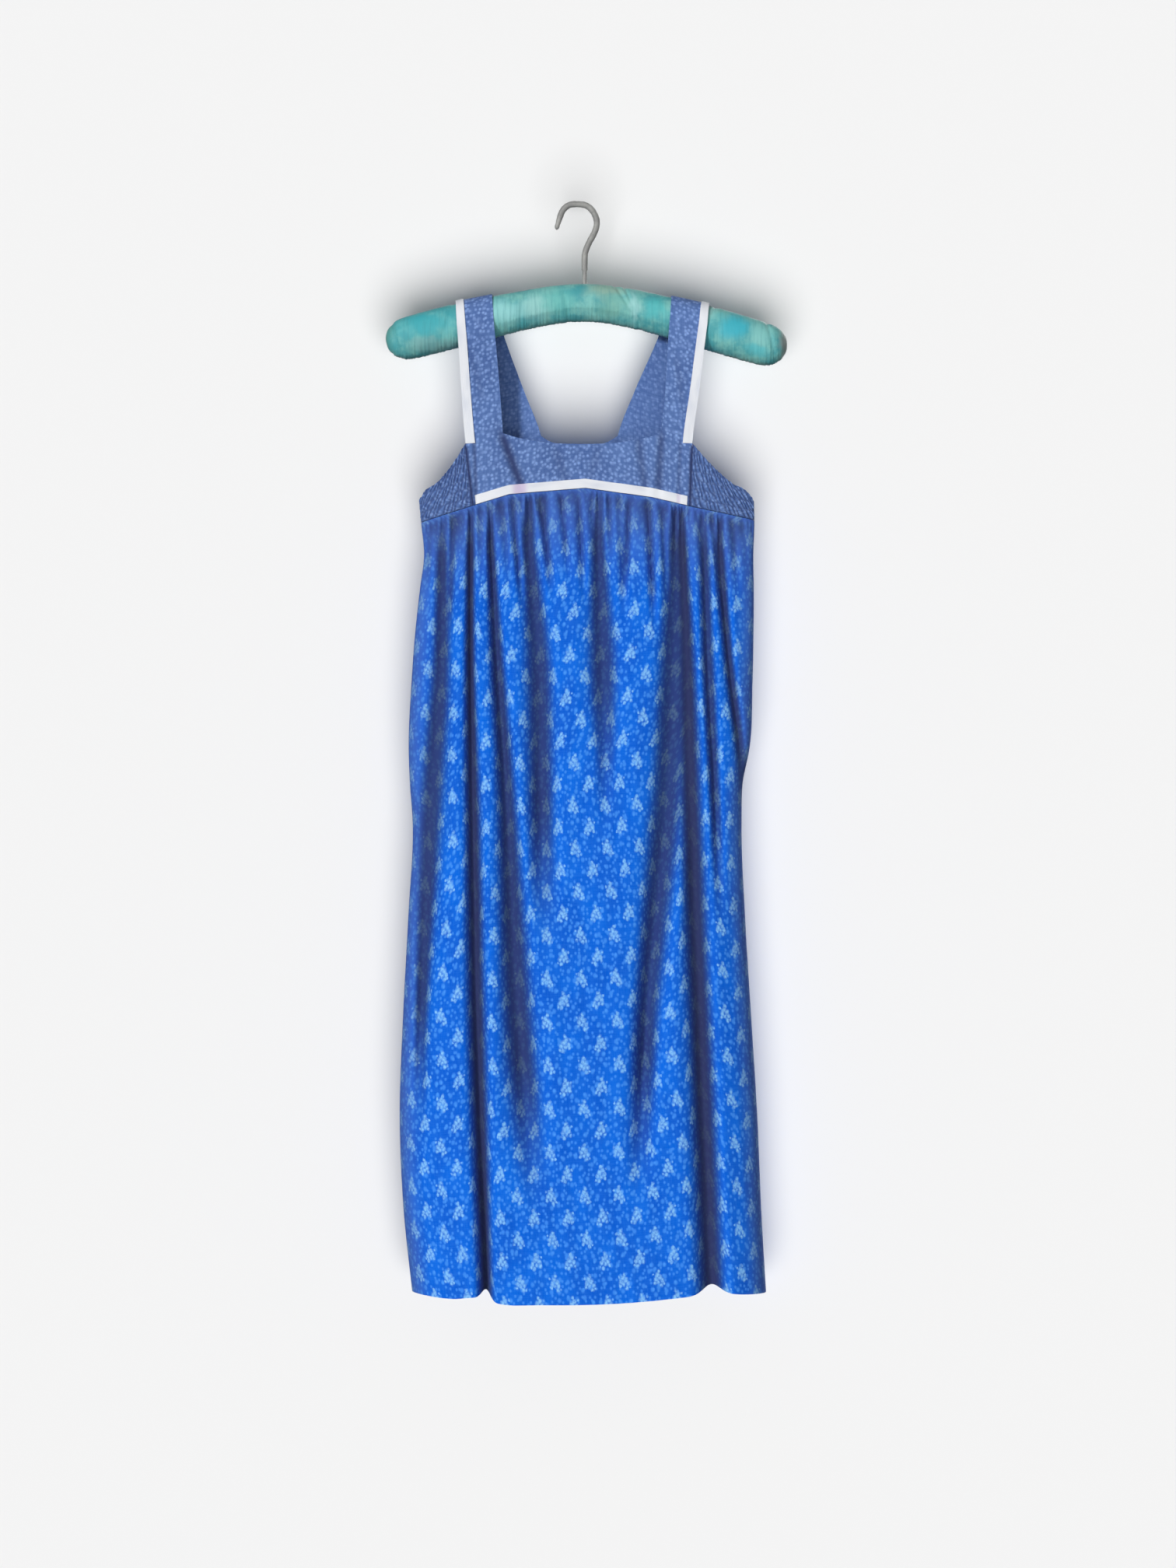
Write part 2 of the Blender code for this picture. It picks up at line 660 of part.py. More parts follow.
def make_strap_tape(name, side, material):
    """White tape on a strap's outer edge, from its front foot over the hanger to its back foot."""

    def tape_row(facing, level):
        strap = yoke_row(facing, (0, 1) if side < 0 else (2, 3), level)
        width = np.linalg.norm(strap[1] - strap[0])
        share = TAPE_WIDTH / width
        return yoke_row(facing, (0, share) if side < 0 else (3 - share, 3), level)

    foot = 2 + (TAPE_END_DROP - NECK_CORNER_DROP) / (YOKE_FOOT_DROP - NECK_CORNER_DROP)
    levels = [level for level in yoke_levels() if level <= 2] + [foot]
    back = [tape_row(BACK, level) for level in reversed(levels)]
    front = [tape_row(FRONT, level) for level in levels]
    rows = moved_out(back[:-1] + front, SEAM_GAP + TAPE_WALL)
    cloth_wall(name, rows, material, wall=TAPE_WALL)


def make_front_tape(name, material):
    """White tape over the foot of the front yoke."""
    laterals = np.concatenate(
        [
            np.linspace(0, 1, TAPE_SIDE_COLUMNS + 1),
            np.linspace(1, 2, TAPE_NECK_COLUMNS + 1)[1:],
            np.linspace(2, 3, TAPE_SIDE_COLUMNS + 1)[1:],
        ]
    )
    foot = yoke_row(FRONT, laterals, 3.0)
    neck = yoke_row(FRONT, laterals, 2.0)
    share = TAPE_WIDTH / (neck[:, 2] - foot[:, 2])
    head = foot + (neck - foot) * share[:, None]
    rows = moved_out([head, foot], SEAM_GAP + TAPE_WALL)
    cloth_wall(name, rows, material, wall=TAPE_WALL, level_rims=True)


def make_dress(materials):
    calico = materials["bodice_calico"]
    make_yoke("yoke_front", FRONT, calico)
    make_yoke("yoke_back", BACK, calico)
    for facing, face in ((FRONT, "front"), (BACK, "back")):
        for side, hand in ((-1, "right"), (1, "left")):
            make_side_panel(f"side_panel_{face}_{hand}", facing, side, calico)
        make_skirt(f"skirt_{face}", facing, materials["skirt_calico"])
    tape = materials["white_tape"]
    make_strap_tape("tape_strap_right", -1, tape)
    make_strap_tape("tape_strap_left", 1, tape)
    make_front_tape("tape_front", tape)


def main():
    clear_scene()
    materials = make_materials()
    make_hanger(materials)
    make_dress(materials)


main()
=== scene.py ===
"""Looks of the summer dress on its padded hanger: thin cloth, prints, tapes, the stuffed cover
and the hook's sleeve, on the forms of the frame.

Metres, +Z up. The origin is the inside of the hook's crown. The front of the dress faces -Y, so
the wearer's right side is at -X. A "drop" is a distance down from the origin. An "across" is a
distance from the middle line of the dress, towards +X. "facing" is FRONT or BACK. Each cloth
carries the coordinates of its flat cut, in metres, so that its print runs with its threads.
"""

import collections
import json
import math

import bpy
import numpy as np
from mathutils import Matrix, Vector

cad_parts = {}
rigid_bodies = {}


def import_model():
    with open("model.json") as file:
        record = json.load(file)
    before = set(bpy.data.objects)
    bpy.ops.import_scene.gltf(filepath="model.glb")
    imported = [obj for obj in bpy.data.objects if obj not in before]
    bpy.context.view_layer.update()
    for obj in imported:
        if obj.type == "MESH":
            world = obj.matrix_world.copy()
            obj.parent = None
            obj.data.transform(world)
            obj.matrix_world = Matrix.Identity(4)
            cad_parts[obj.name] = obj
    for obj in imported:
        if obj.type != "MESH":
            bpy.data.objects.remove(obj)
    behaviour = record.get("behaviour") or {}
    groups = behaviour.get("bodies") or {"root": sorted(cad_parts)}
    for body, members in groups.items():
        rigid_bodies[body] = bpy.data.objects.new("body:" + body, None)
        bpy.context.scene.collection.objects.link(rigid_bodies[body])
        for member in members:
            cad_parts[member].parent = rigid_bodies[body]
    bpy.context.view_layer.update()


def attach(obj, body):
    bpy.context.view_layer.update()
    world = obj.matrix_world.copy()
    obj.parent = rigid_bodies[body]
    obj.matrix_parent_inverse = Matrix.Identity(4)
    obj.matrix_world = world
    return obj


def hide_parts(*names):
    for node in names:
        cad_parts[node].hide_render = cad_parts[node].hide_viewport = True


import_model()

FRONT = -1
BACK = 1
MIDDLE_X = 0.0098


def table(fields, *rows):
    """Rows of given values, with named fields."""
    row_kind = collections.namedtuple("Row", fields)
    return tuple(row_kind(*row) for row in rows)


# Photograph: its frame, and the scale at the dress
FRAME_WIDTH_PX = 1512
FRAME_HEIGHT_PX = 2016
PIXEL = 0.00082
ORIGIN_PX = (742.0, 266.5)
CAMERA_DISTANCE = 4.0
SENSOR = 0.036

# Studio: a pale wall close behind the dress, and soft light from suns. Travel is the direction
# in which a sun's light goes, and spread is the angle that the sun fills.
WALL_BEHIND = 0.058
WALL_TONE = 0.87
STAGE_HALF = 5.0
ROOM_HALF = 9.0
ROOM_TONE = 0.89
WORLD_STRENGTH = 0.075
SUNS = table(
    "name travel spread strength color on_dress",
    ("wall_light", (0.0, 0.89, 0.455), math.radians(52), 3.42, (1.0, 1.0, 1.0), False),
    ("key", (0.52, 0.81, -0.26), math.radians(9), 2.15, (1.0, 0.99, 0.97), True),
    ("fill", (-0.10, 0.98, 0.10), math.radians(70), 1.20, (1.0, 0.98, 0.95), True),
    ("behind", (-0.45, -0.85, -0.25), math.radians(40), 1.85, (1.0, 1.0, 1.0), True),
)

# Cloth and seams
CLOTH_WALL = 0.0015  # of the frame's solids, whose outer faces the cloth keeps to
COTTON = 0.0006
TAPE = 0.0008
SEAM_GAP = 0.0003
CHORD_ROOM = 0.0003
HEM_TURNED_UP = 0.020
HEM_LAYERS = 0.0013

# Hanger
PAD_DROP = 0.1009
PAD_CROWN = 0.0144
PAD_SLOPE = 0.28
PAD_TILT = math.radians(1.0)
PAD_REACH = 0.2115
PAD_END = 0.022
PAD_LAST_TURN = math.radians(84)
PAD_DEPTH_SHARE = 0.84
HOOK_RADIUS = 0.00325
HOOK_TIP_RADIUS = 0.0024
HOOK_TAPER_POINTS = 1.5
STEM_BURIED = 0.011

# Dress: levels of the bodice
PAD_CLEARANCE = 0.0006
STRAP_LEAVES_DROP = 0.122
YOKE_FOOT_DROP = 0.3155
NECK_CORNER_DROP = 0.2395
NECK_SAG = {FRONT: 0.0113, BACK: 0.0105}
NECK_SAG_POWER = {FRONT: 2.6, BACK: 3.2}
ARMHOLE_TOP_DROP = 0.2502
ARMHOLE_LOW_DROP = 0.3103
TAPE_END_DROP = 0.2500
TAPE_WIDTH_ON_SHOULDER = 0.0080
TAPE_WIDTH_AT_FOOT = 0.0100
FRONT_TAPE_WIDTH = 0.0095
FRONT_TAPE_SHORT = 0.08  # of the strap's width, at each end

# Skirt
EDGE_POWER = 4.0
SKIRT_PUFF = 0.0035
PUFF_LENGTH = 0.030
GATHER_SHARE = 0.30
GATHER_GROWS = 0.010
GATHER_SHORTEST = 0.022
GATHER_LONGEST = 0.075
GATHER_FADES = 0.07
GATHER_COUNT = {FRONT: 24, BACK: 21}
GOLDEN = 0.618
HEM_LIFT = 0.35
HEM_LIFT_POWER = 6

OUTLINE = table(
    "drop right left depth",
    (0.240, 0.1763, 0.1770, 0.0160),
    (0.310, 0.1763, 0.1767, 0.0155),
    (0.333, 0.1742, 0.1771, 0.0165),
    (0.368, 0.1712, 0.1760, 0.0195),
    (0.400, 0.1752, 0.1765, 0.0220),
    (0.443, 0.1800, 0.1763, 0.0250),
    (0.503, 0.1845, 0.1751, 0.0280),
    (0.569, 0.1874, 0.1722, 0.0305),
    (0.607, 0.1861, 0.1648, 0.0320),
    (0.646, 0.1833, 0.1636, 0.0335),
    (0.748, 0.1878, 0.1673, 0.0370),
    (0.848, 0.1931, 0.1734, 0.0400),
    (0.962, 0.1968, 0.1804, 0.0430),
    (1.060, 0.1925, 0.1845, 0.0450),
    (1.143, 0.1837, 0.1894, 0.0460),
)

YOKE_LINES = ("right_outer", "right_inner", "left_inner", "left_outer")
YOKE_EDGES = {
    FRONT: table(
        ("drop", *YOKE_LINES),
        (0.098, -0.1378, -0.1000, 0.0902, 0.1296),
        (0.142, -0.1345, -0.0959, 0.0861, 0.1243),
        (0.196, -0.1312, -0.0910, 0.0828, 0.1181),
        (0.240, -0.1279, -0.0877, 0.0787, 0.1121),
        (0.316, -0.1189, -0.0840, 0.0750, 0.1082),
    ),
    BACK: table(
        ("drop", *YOKE_LINES),
        (0.098, -0.1378, -0.1000, 0.0902, 0.1296),
        (0.142, -0.1345, -0.0869, 0.0760, 0.1243),
        (0.196, -0.1312, -0.0664, 0.0517, 0.1181),
        (0.240, -0.1279, -0.0480, 0.0330, 0.1121),
        (0.316, -0.1189, -0.0440, 0.0300, 0.1082),
    ),
}

WAIST = {
    FRONT: table(
        "across drop",
        (-0.1742, 0.3325),
        (-0.1189, 0.3153),
        (-0.0810, 0.3038),
        (-0.0016, 0.2972),
        (0.0680, 0.3068),
        (0.1082, 0.3160),
        (0.1771, 0.3300),
    ),
    BACK: table(
        "across drop",
        (-0.1742, 0.3325),
        (-0.1189, 0.3160),
        (0.0, 0.3140),
        (0.1082, 0.3163),
        (0.1771, 0.3300),
    ),
}

ARMHOLE = table(
    "run fall",
    (0.0, 0.0),
    (0.2, 0.24),
    (0.4, 0.46),
    (0.65, 0.69),
    (0.9, 0.85),
    (1.0, 1.0),
)

HEM = table(
    "across drop",
    (-0.1837, 1.1420),
    (-0.1386, 1.1455),
    (-0.1130, 1.1440),
    (-0.0930, 1.1494),
    (-0.0443, 1.1508),
    (0.0377, 1.1490),
    (0.1033, 1.1430),
    (0.1310, 1.1400),
    (0.1690, 1.1422),
    (0.1894, 1.1430),
)
HEM_RISE = {FRONT: 0.0, BACK: 0.003}
WAIST_MIDDLE_DROP = 0.300

# Folds down the skirt, as in the frame: where each lies across and its half width at the drops
# of FOLD_DROPS, where it ends, its depth as a share of the skirt's, and how dark the shade painted on
# its floor is.
# They run up into the seam, ever narrower.
FOLD_DROPS = (0.355, 0.478, 0.601, 0.847, 1.138)
FOLD_FIELDS = "across width end share dark"
FOLDS = {
    FRONT: table(
        FOLD_FIELDS,
        ((-0.1517, -0.1525, -0.1607, -0.1730, -0.1755),
         (0.0058, 0.0095, 0.0125, 0.0070, 0.0060), 1.00, 0.48, 0.90),
        ((-0.1216, -0.1218, -0.1194, -0.1148, -0.1050),
         (0.0040, 0.0048, 0.0068, 0.0084, 0.0062), 1.50, 0.50, 1.0),
        ((-0.1005, -0.0935, -0.0848, -0.0713, -0.0443),
         (0.0038, 0.0066, 0.0088, 0.0150, 0.0140), 1.07, 0.50, 0.92),
        ((-0.0607, -0.0500, -0.0476, -0.0400, -0.0156),
         (0.0068, 0.0125, 0.0125, 0.0120, 0.0120), 0.80, 0.50, 0.88),
        ((0.0127, 0.0172, 0.0205, 0.0205, 0.0205),
         (0.0066, 0.0135, 0.0085, 0.0080, 0.0080), 0.67, 0.46, 0.85),
        ((0.0950, 0.0920, 0.0870, 0.0640, 0.0517),
         (0.0090, 0.0140, 0.0160, 0.0118, 0.0090), 1.06, 0.50, 0.86),
        ((0.1010, 0.1060, 0.1094, 0.1189, 0.1316),
         (0.0044, 0.0078, 0.0105, 0.0118, 0.0122), 1.50, 0.50, 1.0),
        ((0.1238, 0.1279, 0.1342, 0.1450, 0.1500),
         (0.0048, 0.0060, 0.0054, 0.0060, 0.0060), 0.78, 0.42, 0.88),
        ((0.1402, 0.1500, 0.1655, 0.1720, 0.1750),
         (0.0040, 0.0048, 0.0056, 0.0060, 0.0060), 0.71, 0.45, 0.95),
    ),
    BACK: table(
        FOLD_FIELDS,
        ((-0.1450, -0.1480, -0.1520, -0.1600, -0.1560),
         (0.0050, 0.0078, 0.0090, 0.0100, 0.0096), 1.50, 0.50, 0.90),
        ((-0.1120, -0.1090, -0.1060, -0.0980, -0.0960),
         (0.0044, 0.0080, 0.0100, 0.0106, 0.0100), 0.98, 0.50, 0.88),
        ((-0.0700, -0.0670, -0.0640, -0.0560, -0.0480),
         (0.0052, 0.0086, 0.0110, 0.0124, 0.0112), 1.50, 0.52, 0.95),
        ((-0.0260, -0.0255, -0.0250, -0.0180, -0.0100),
         (0.0048, 0.0096, 0.0090, 0.0090, 0.0090), 0.75, 0.46, 0.85),
        ((0.0220, 0.0240, 0.0260, 0.0330, 0.0380),
         (0.0046, 0.0082, 0.0104, 0.0118, 0.0112), 1.50, 0.52, 0.95),
        ((0.0700, 0.0730, 0.0760, 0.0800, 0.0870),
         (0.0056, 0.0090, 0.0096, 0.0100, 0.0100), 0.94, 0.48, 0.85),
        ((0.1100, 0.1120, 0.1140, 0.1220, 0.1300),
         (0.0044, 0.0070, 0.0092, 0.0106, 0.0100), 1.50, 0.50, 0.92),
        ((0.1450, 0.1465, 0.1480, 0.1520, 0.1600),
         (0.0044, 0.0062, 0.0080, 0.0080, 0.0080), 0.72, 0.45, 0.88),
    ),
}
FOLD_NARROW = 0.6  # share of its width that a fold has at the seam
FOLD_WIDENS = 0.050
FOLD_FADES = 0.180
FOLD_GROWS = 0.012
FOLD_FLOOR_POWER = 3.2  # higher for a flatter floor of the painted shade
FOLD_CROWD = 2.2  # how much closer the columns lie in a fold
EDGE_CROWD = 3.0
EDGE_WIDTH = 0.06
CROWD_REACH = 1.5

# Gathers between the folds: where each leaves the seam, how it leans (across for each metre
# down), where it ends, its half width and its share of the skirt's depth
GATHER_FIELDS = "across lean end width share"
GATHERS = {
    FRONT: table(
        GATHER_FIELDS,
        (-0.1640, -0.06, 0.43, 0.0034, 0.20),
        (-0.1394, -0.04, 0.47, 0.0038, 0.34),
        (-0.1120, 0.03, 0.41, 0.0034, 0.22),
        (-0.0895, 0.10, 0.42, 0.0036, 0.22),
        (-0.0787, 0.10, 0.44, 0.0036, 0.32),
        (-0.0484, 0.12, 0.43, 0.0040, 0.36),
        (-0.0271, 0.10, 0.41, 0.0034, 0.28),
        (-0.0090, 0.06, 0.43, 0.0036, 0.30),
        (0.0238, 0.02, 0.40, 0.0034, 0.26),
        (0.0340, 0.05, 0.45, 0.0036, 0.18),
        (0.0451, -0.04, 0.43, 0.0036, 0.32),
        (0.0648, 0.05, 0.46, 0.0038, 0.34),
        (0.0800, 0.04, 0.43, 0.0034, 0.24),
        (0.1325, 0.10, 0.48, 0.0036, 0.24),
        (0.1530, 0.08, 0.42, 0.0034, 0.24),
        (0.1660, 0.05, 0.40, 0.0032, 0.18),
    ),
    BACK: table(
        GATHER_FIELDS,
        (-0.1610, -0.05, 0.44, 0.0034, 0.22),
        (-0.1290, 0.02, 0.46, 0.0038, 0.32),
        (-0.0930, 0.08, 0.42, 0.0036, 0.26),
        (-0.0830, 0.12, 0.50, 0.0036, 0.34),
        (-0.0520, 0.10, 0.43, 0.0036, 0.30),
        (-0.0390, -0.04, 0.46, 0.0034, 0.24),
        (-0.0080, 0.05, 0.49, 0.0038, 0.34),
        (0.0090, 0.02, 0.42, 0.0034, 0.24),
        (0.0390, 0.08, 0.45, 0.0036, 0.30),
        (0.0560, 0.03, 0.41, 0.0034, 0.26),
        (0.0870, -0.05, 0.47, 0.0038, 0.32),
        (0.1270, 0.06, 0.43, 0.0036, 0.28),
        (0.1600, 0.05, 0.41, 0.0034, 0.20),
    ),
}

# Soft creases pressed into the bodice: ends of each on the cloth, its half width and its depth
CREASE_FIELDS = "across drop to_across to_drop width depth"
YOKE_CREASES = {
    FRONT: table(
        CREASE_FIELDS,
        (-0.0860, 0.2480, -0.0700, 0.2900, 0.0050, 0.0024),
        (-0.1175, 0.2540, -0.1150, 0.3140, 0.0018, 0.0016),
        (-0.0300, 0.2620, -0.0210, 0.2900, 0.0060, 0.0008),
        (0.0120, 0.2600, 0.0050, 0.2850, 0.0050, 0.0006),
        (0.0560, 0.2540, 0.0620, 0.2960, 0.0046, 0.0012),
        (0.0790, 0.2480, 0.0760, 0.3020, 0.0044, 0.0016),
        (0.0990, 0.2560, 0.0970, 0.3110, 0.0020, 0.0010),
        (-0.1240, 0.1500, -0.1120, 0.1900, 0.0040, 0.0005),
        (0.0960, 0.1700, 0.1030, 0.2150, 0.0040, 0.0006),
    ),
    BACK: table(
        CREASE_FIELDS,
        (-0.0700, 0.2500, -0.0620, 0.2950, 0.0052, 0.0020),
        (-0.0200, 0.2600, -0.0240, 0.3000, 0.0060, 0.0010),
        (0.0300, 0.2520, 0.0330, 0.2980, 0.0048, 0.0014),
        (0.0820, 0.2460, 0.0760, 0.2960, 0.0050, 0.0018),
        (-0.1050, 0.1700, -0.0980, 0.2200, 0.0050, 0.0007),
        (0.0900, 0.1600, 0.0860, 0.2100, 0.0050, 0.0007),
    ),
}

CREASE_ENDS = 0.012  # length over which a crease dies out past its ends
# Painted shade in the bodice's creases and along its seams to the side panels
CREASE_DARKEST = 0.0020
STRAP_WIDTH = 0.036
SEAM_SHADE = 1.0
SEAM_SHADE_WIDTH = 0.0020

# Elastic stitching in the side panels
SHIRR_ROW = 0.0092  # between rows of elastic
SHIRR_PITCH = 0.0052  # between the little gathers that it draws up
SHIRR_HEIGHT = 0.0019
SHIRR_SLANT = 0.30
SHIRR_SHADE = 0.62

PAD_SECTIONS = table(
    "distance half_height",
    (0.0, 0.0197),
    (0.075, 0.0206),
    (0.140, 0.0228),
    (0.180, 0.0220),
    (0.2115, 0.0205),
)

HOOK = table(
    "x drop",
    (-0.0219, 0.0236),
    (-0.0185, 0.0118),
    (-0.0148, 0.0030),
    (-0.0085, -0.0022),
    (0.0, -0.00325),
    (0.0090, -0.0020),
    (0.0157, 0.0030),
    (0.0202, 0.0118),
    (0.0206, 0.0195),
    (0.0178, 0.0278),
    (0.0128, 0.0370),
    (0.0091, 0.0462),
    (0.0080, 0.0545),
    (0.0080, 0.0780),
)


def rgb(red, green, blue):
    """A colour given as it shows on a screen, 0 to 255, in linear light."""
    shown = np.array([red, green, blue]) / 255
    linear = np.where(shown <= 0.04045, shown / 12.92, ((shown + 0.055) / 1.055) ** 2.4)
    return (*(float(part) for part in linear), 1.0)


def smooth(keys, values, at):
    """Values on a smooth curve through the given ones, held level past its ends."""
    keys, values = np.array(keys, float), np.array(values, float)
    at = np.clip(at, keys[0], keys[-1])
    slopes = np.gradient(values, keys)
    low = np.clip(np.searchsorted(keys, at) - 1, 0, len(keys) - 2)
    step = keys[low + 1] - keys[low]
    t = (at - keys[low]) / step
    start = (1 + 2 * t) * (1 - t) ** 2 * values[low] + t * (1 - t) ** 2 * step * slopes[low]
    end = t * t * (3 - 2 * t) * values[low + 1] + t * t * (t - 1) * step * slopes[low + 1]
    return start + end


def smooth_column(rows, key, value, at):
    return smooth([getattr(row, key) for row in rows], [getattr(row, value) for row in rows], at)


def eased(t):
    t = np.clip(t, 0.0, 1.0)
    return t * t * (3 - 2 * t)


def mixed(a, b, t):
    return a + (b - a) * t


def bell(x, power=2):
    return np.exp(-(x**power))


def stepped(*spans):
    """Values that run on through spans, each given by its start, end and number of steps."""
    parts = [np.linspace(start, end, steps + 1)[1:] for start, end, steps in spans]
    return np.concatenate([[spans[0][0]], *parts])


# Shading


class Shading:
    """A material's nodes, built from the surface back."""

    def __init__(self, name):
        self.material = bpy.data.materials.new(name)
        self.material.use_nodes = True
        self.tree = self.material.node_tree
        self.shader = self.tree.nodes["Principled BSDF"]

    def put(self, socket, value):
        if isinstance(value, bpy.types.NodeSocket):
            self.tree.links.new(value, socket)
        else:
            socket.default_value = value

    def node(self, kind, inputs=None, **settings):
        node = self.tree.nodes.new(kind)
        for name, value in settings.items():
            setattr(node, name, value)
        for name, value in (inputs or {}).items():
            self.put(node.inputs[name], value)
        return node

    def set(self, **values):
        for name, value in values.items():
            self.put(self.shader.inputs[name.replace("_", " ").title().replace("Ior", "IOR")], value)

    def mark(self, name):
        """A share kept on the mesh's points."""
        return self.node("ShaderNodeAttribute", attribute_name=name).outputs["Fac"]

    def apart(self, vector):
        return self.node("ShaderNodeSeparateXYZ", {"Vector": vector}).outputs

    def times(self, a, b):
        return self.math("MULTIPLY", a, b)

    def plus(self, a, b):
        return self.math("ADD", a, b)

    def minus(self, a, b):
        return self.math("SUBTRACT", a, b)

    def math(self, operation, *values):
        node = self.node("ShaderNodeMath", operation=operation)
        for socket, value in zip(node.inputs, values):
            self.put(socket, value)
        return node.outputs[0]

    def vector(self, operation, *values):
        node = self.node("ShaderNodeVectorMath", operation=operation)
        for socket, value in zip(node.inputs, values):
            self.put(socket, value)
        return node.outputs["Value" if operation == "LENGTH" else "Vector"]

    def ramp(self, value, low, high, to_low=0.0, to_high=1.0):
        """The value moved from one range to another, along an S."""
        node = self.node(
            "ShaderNodeMapRange",
            {"Value": value, "From Min": low, "From Max": high, "To Min": to_low, "To Max": to_high},
            interpolation_type="SMOOTHSTEP",
        )
        return node.outputs["Result"]

    def mix(self, share, a, b):
        node = self.node("ShaderNodeMix", data_type="RGBA")
        self.put(node.inputs[0], share)
        self.put(node.inputs[6], a)
        self.put(node.inputs[7], b)
        return node.outputs[2]

    def noise(self, coordinates, scale, detail=3.0, roughness=0.5):
        node = self.node(
            "ShaderNodeTexNoise",
            {"Vector": coordinates, "Scale": scale, "Detail": detail, "Roughness": roughness},
        )
        return node.outputs["Fac"]

    def grain(self, coordinates, scales, detail=3.0, roughness=0.5):
        """Noise with its own scale along each axis."""
        stretched = self.vector("MULTIPLY", coordinates, (*scales, 1.0)[:3])
        return self.noise(stretched, 1.0, detail, roughness)

    def bump(self, height, distance, strength=1.0, below=None):
        node = self.node(
            "ShaderNodeBump", {"Height": height, "Distance": distance, "Strength": strength}
        )
        if below is not None:
            self.put(node.inputs["Normal"], below)
        return node.outputs["Normal"]


def flat_coordinates(look):
    return look.node("ShaderNodeUVMap", uv_map="flat").outputs["UV"]


# Printed spots, the small ones and then the large: pitch, radius, unevenness, softness, share
DOT_FIELDS = "pitch radius randomness softness share"
BODICE_DOTS = table(DOT_FIELDS, (0.0048, 0.0013, 0.85, 0.8, 1.0), (0.0096, 0.0018, 0.9, 0.8, 0.34))
SKIRT_DOTS = table(DOT_FIELDS, (0.0072, 0.0015, 0.85, 0.6, 0.60), (0.0124, 0.0024, 0.85, 0.6, 0.60))
DOTS_APART = (3.1, 1.7, 0.0)  # from the small ones to the large, so that they don't line up


def dots(look, flat, kind):
    cells = look.node(
        "ShaderNodeTexVoronoi",
        {"Vector": flat, "Scale": 1 / kind.pitch, "Randomness": kind.randomness},
        voronoi_dimensions="2D",
    ).outputs["Distance"]
    edge = kind.radius / kind.pitch
    return look.ramp(cells, edge * (1 - kind.softness), edge * (1 + kind.softness), 1.0, 0.0)


THREAD = 0.0011
TAPE_RIB = 0.0013
WEAVE_DEPTH = 0.00012


def weave(look, flat):
    """Plain weave with slubs, as a bump, and the slubs alone."""
    sine = []
    parts = look.apart(flat)
    for axis in ("X", "Y"):
        turn = look.times(parts[axis], math.pi / THREAD)
        sine.append(look.math("SINE", turn))
    threads = look.times(*sine)
    slub_down = look.grain(flat, (900, 60), 2.0)
    slub_across = look.grain(flat, (50, 800), 2.0)
    slubs = look.plus(slub_down, slub_across)
    height = look.plus(look.times(threads, 0.35), slubs)
    return look.bump(height, WEAVE_DEPTH, 0.8), slubs


# A greyer blue, mixed in towards the top of the skirt and at its sides
GREYED_COLOR = rgb(84, 106, 166)
GREYED_SHARE = 0.75
STREAK_SHARE = 0.14
# Share of the painted shade colour where the painted shade is full
PAINTED_SHADE_SHARE = 0.95

# The sprig of the skirt's print: petals of a small upright posy and its loose leaves, in
# millimetres from its middle
SPRIG = table(
    "x y radius",
    (0.6, 7.4, 2.2),
    (-1.0, 3.6, 3.1),
    (2.2, 1.2, 3.2),
    (-3.4, -0.6, 2.9),
    (-5.0, -4.4, 2.0),
    (0.0, -3.2, 2.4),
    (5.0, -2.6, 2.6),
    (3.4, -7.0, 2.3),
    (7.4, -6.0, 1.5),
    (-6.4, 4.8, 1.3),
)
SPRIG_COLUMN = 0.0232
SPRIG_ROW = 0.0452
SPRIG_WOBBLE = 5.6  # in millimetres
PETAL_FULL = 0.2  # as shares of a petal's radius
PETAL_GONE = 1.45


def sprigs(look, flat):
    """Sprigs in columns, each column half a row lower than the last and turned the other way."""
    wobble = look.grain(flat, (240, 240), 4.0, 0.62)
    parts = look.apart(flat)
    columns = look.math("DIVIDE", parts["X"], SPRIG_COLUMN)
    column = look.math("FLOOR", columns)
    odd = look.math("FLOORED_MODULO", column, 2.0)
    rows = look.math("DIVIDE", parts["Y"], SPRIG_ROW)
    rows = look.plus(rows, look.times(odd, 0.5))
    x = look.minus(look.math("FRACT", columns), 0.5)
    y = look.minus(look.math("FRACT", rows), 0.5)
    turned = look.minus(1.0, look.times(odd, 2.0))
    x = look.times(look.times(x, turned), SPRIG_COLUMN * 1000)
    y = look.times(y, SPRIG_ROW * 1000)
    place = look.node("ShaderNodeCombineXYZ", {"X": x, "Y": y}).outputs[0]
    moved = look.times(look.minus(wobble, 0.5), SPRIG_WOBBLE)
    printed = 0.0
    for petal in SPRIG:
        away = look.vector("LENGTH", look.vector("SUBTRACT", place, (petal.x, petal.y, 0.0)))
        away = look.plus(away, moved)
        full, gone = petal.radius * PETAL_FULL, petal.radius * PETAL_GONE
        petal_here = look.ramp(away, full, gone, 1.0, 0.0)
        printed = look.math("MAXIMUM", printed, petal_here)
    return printed


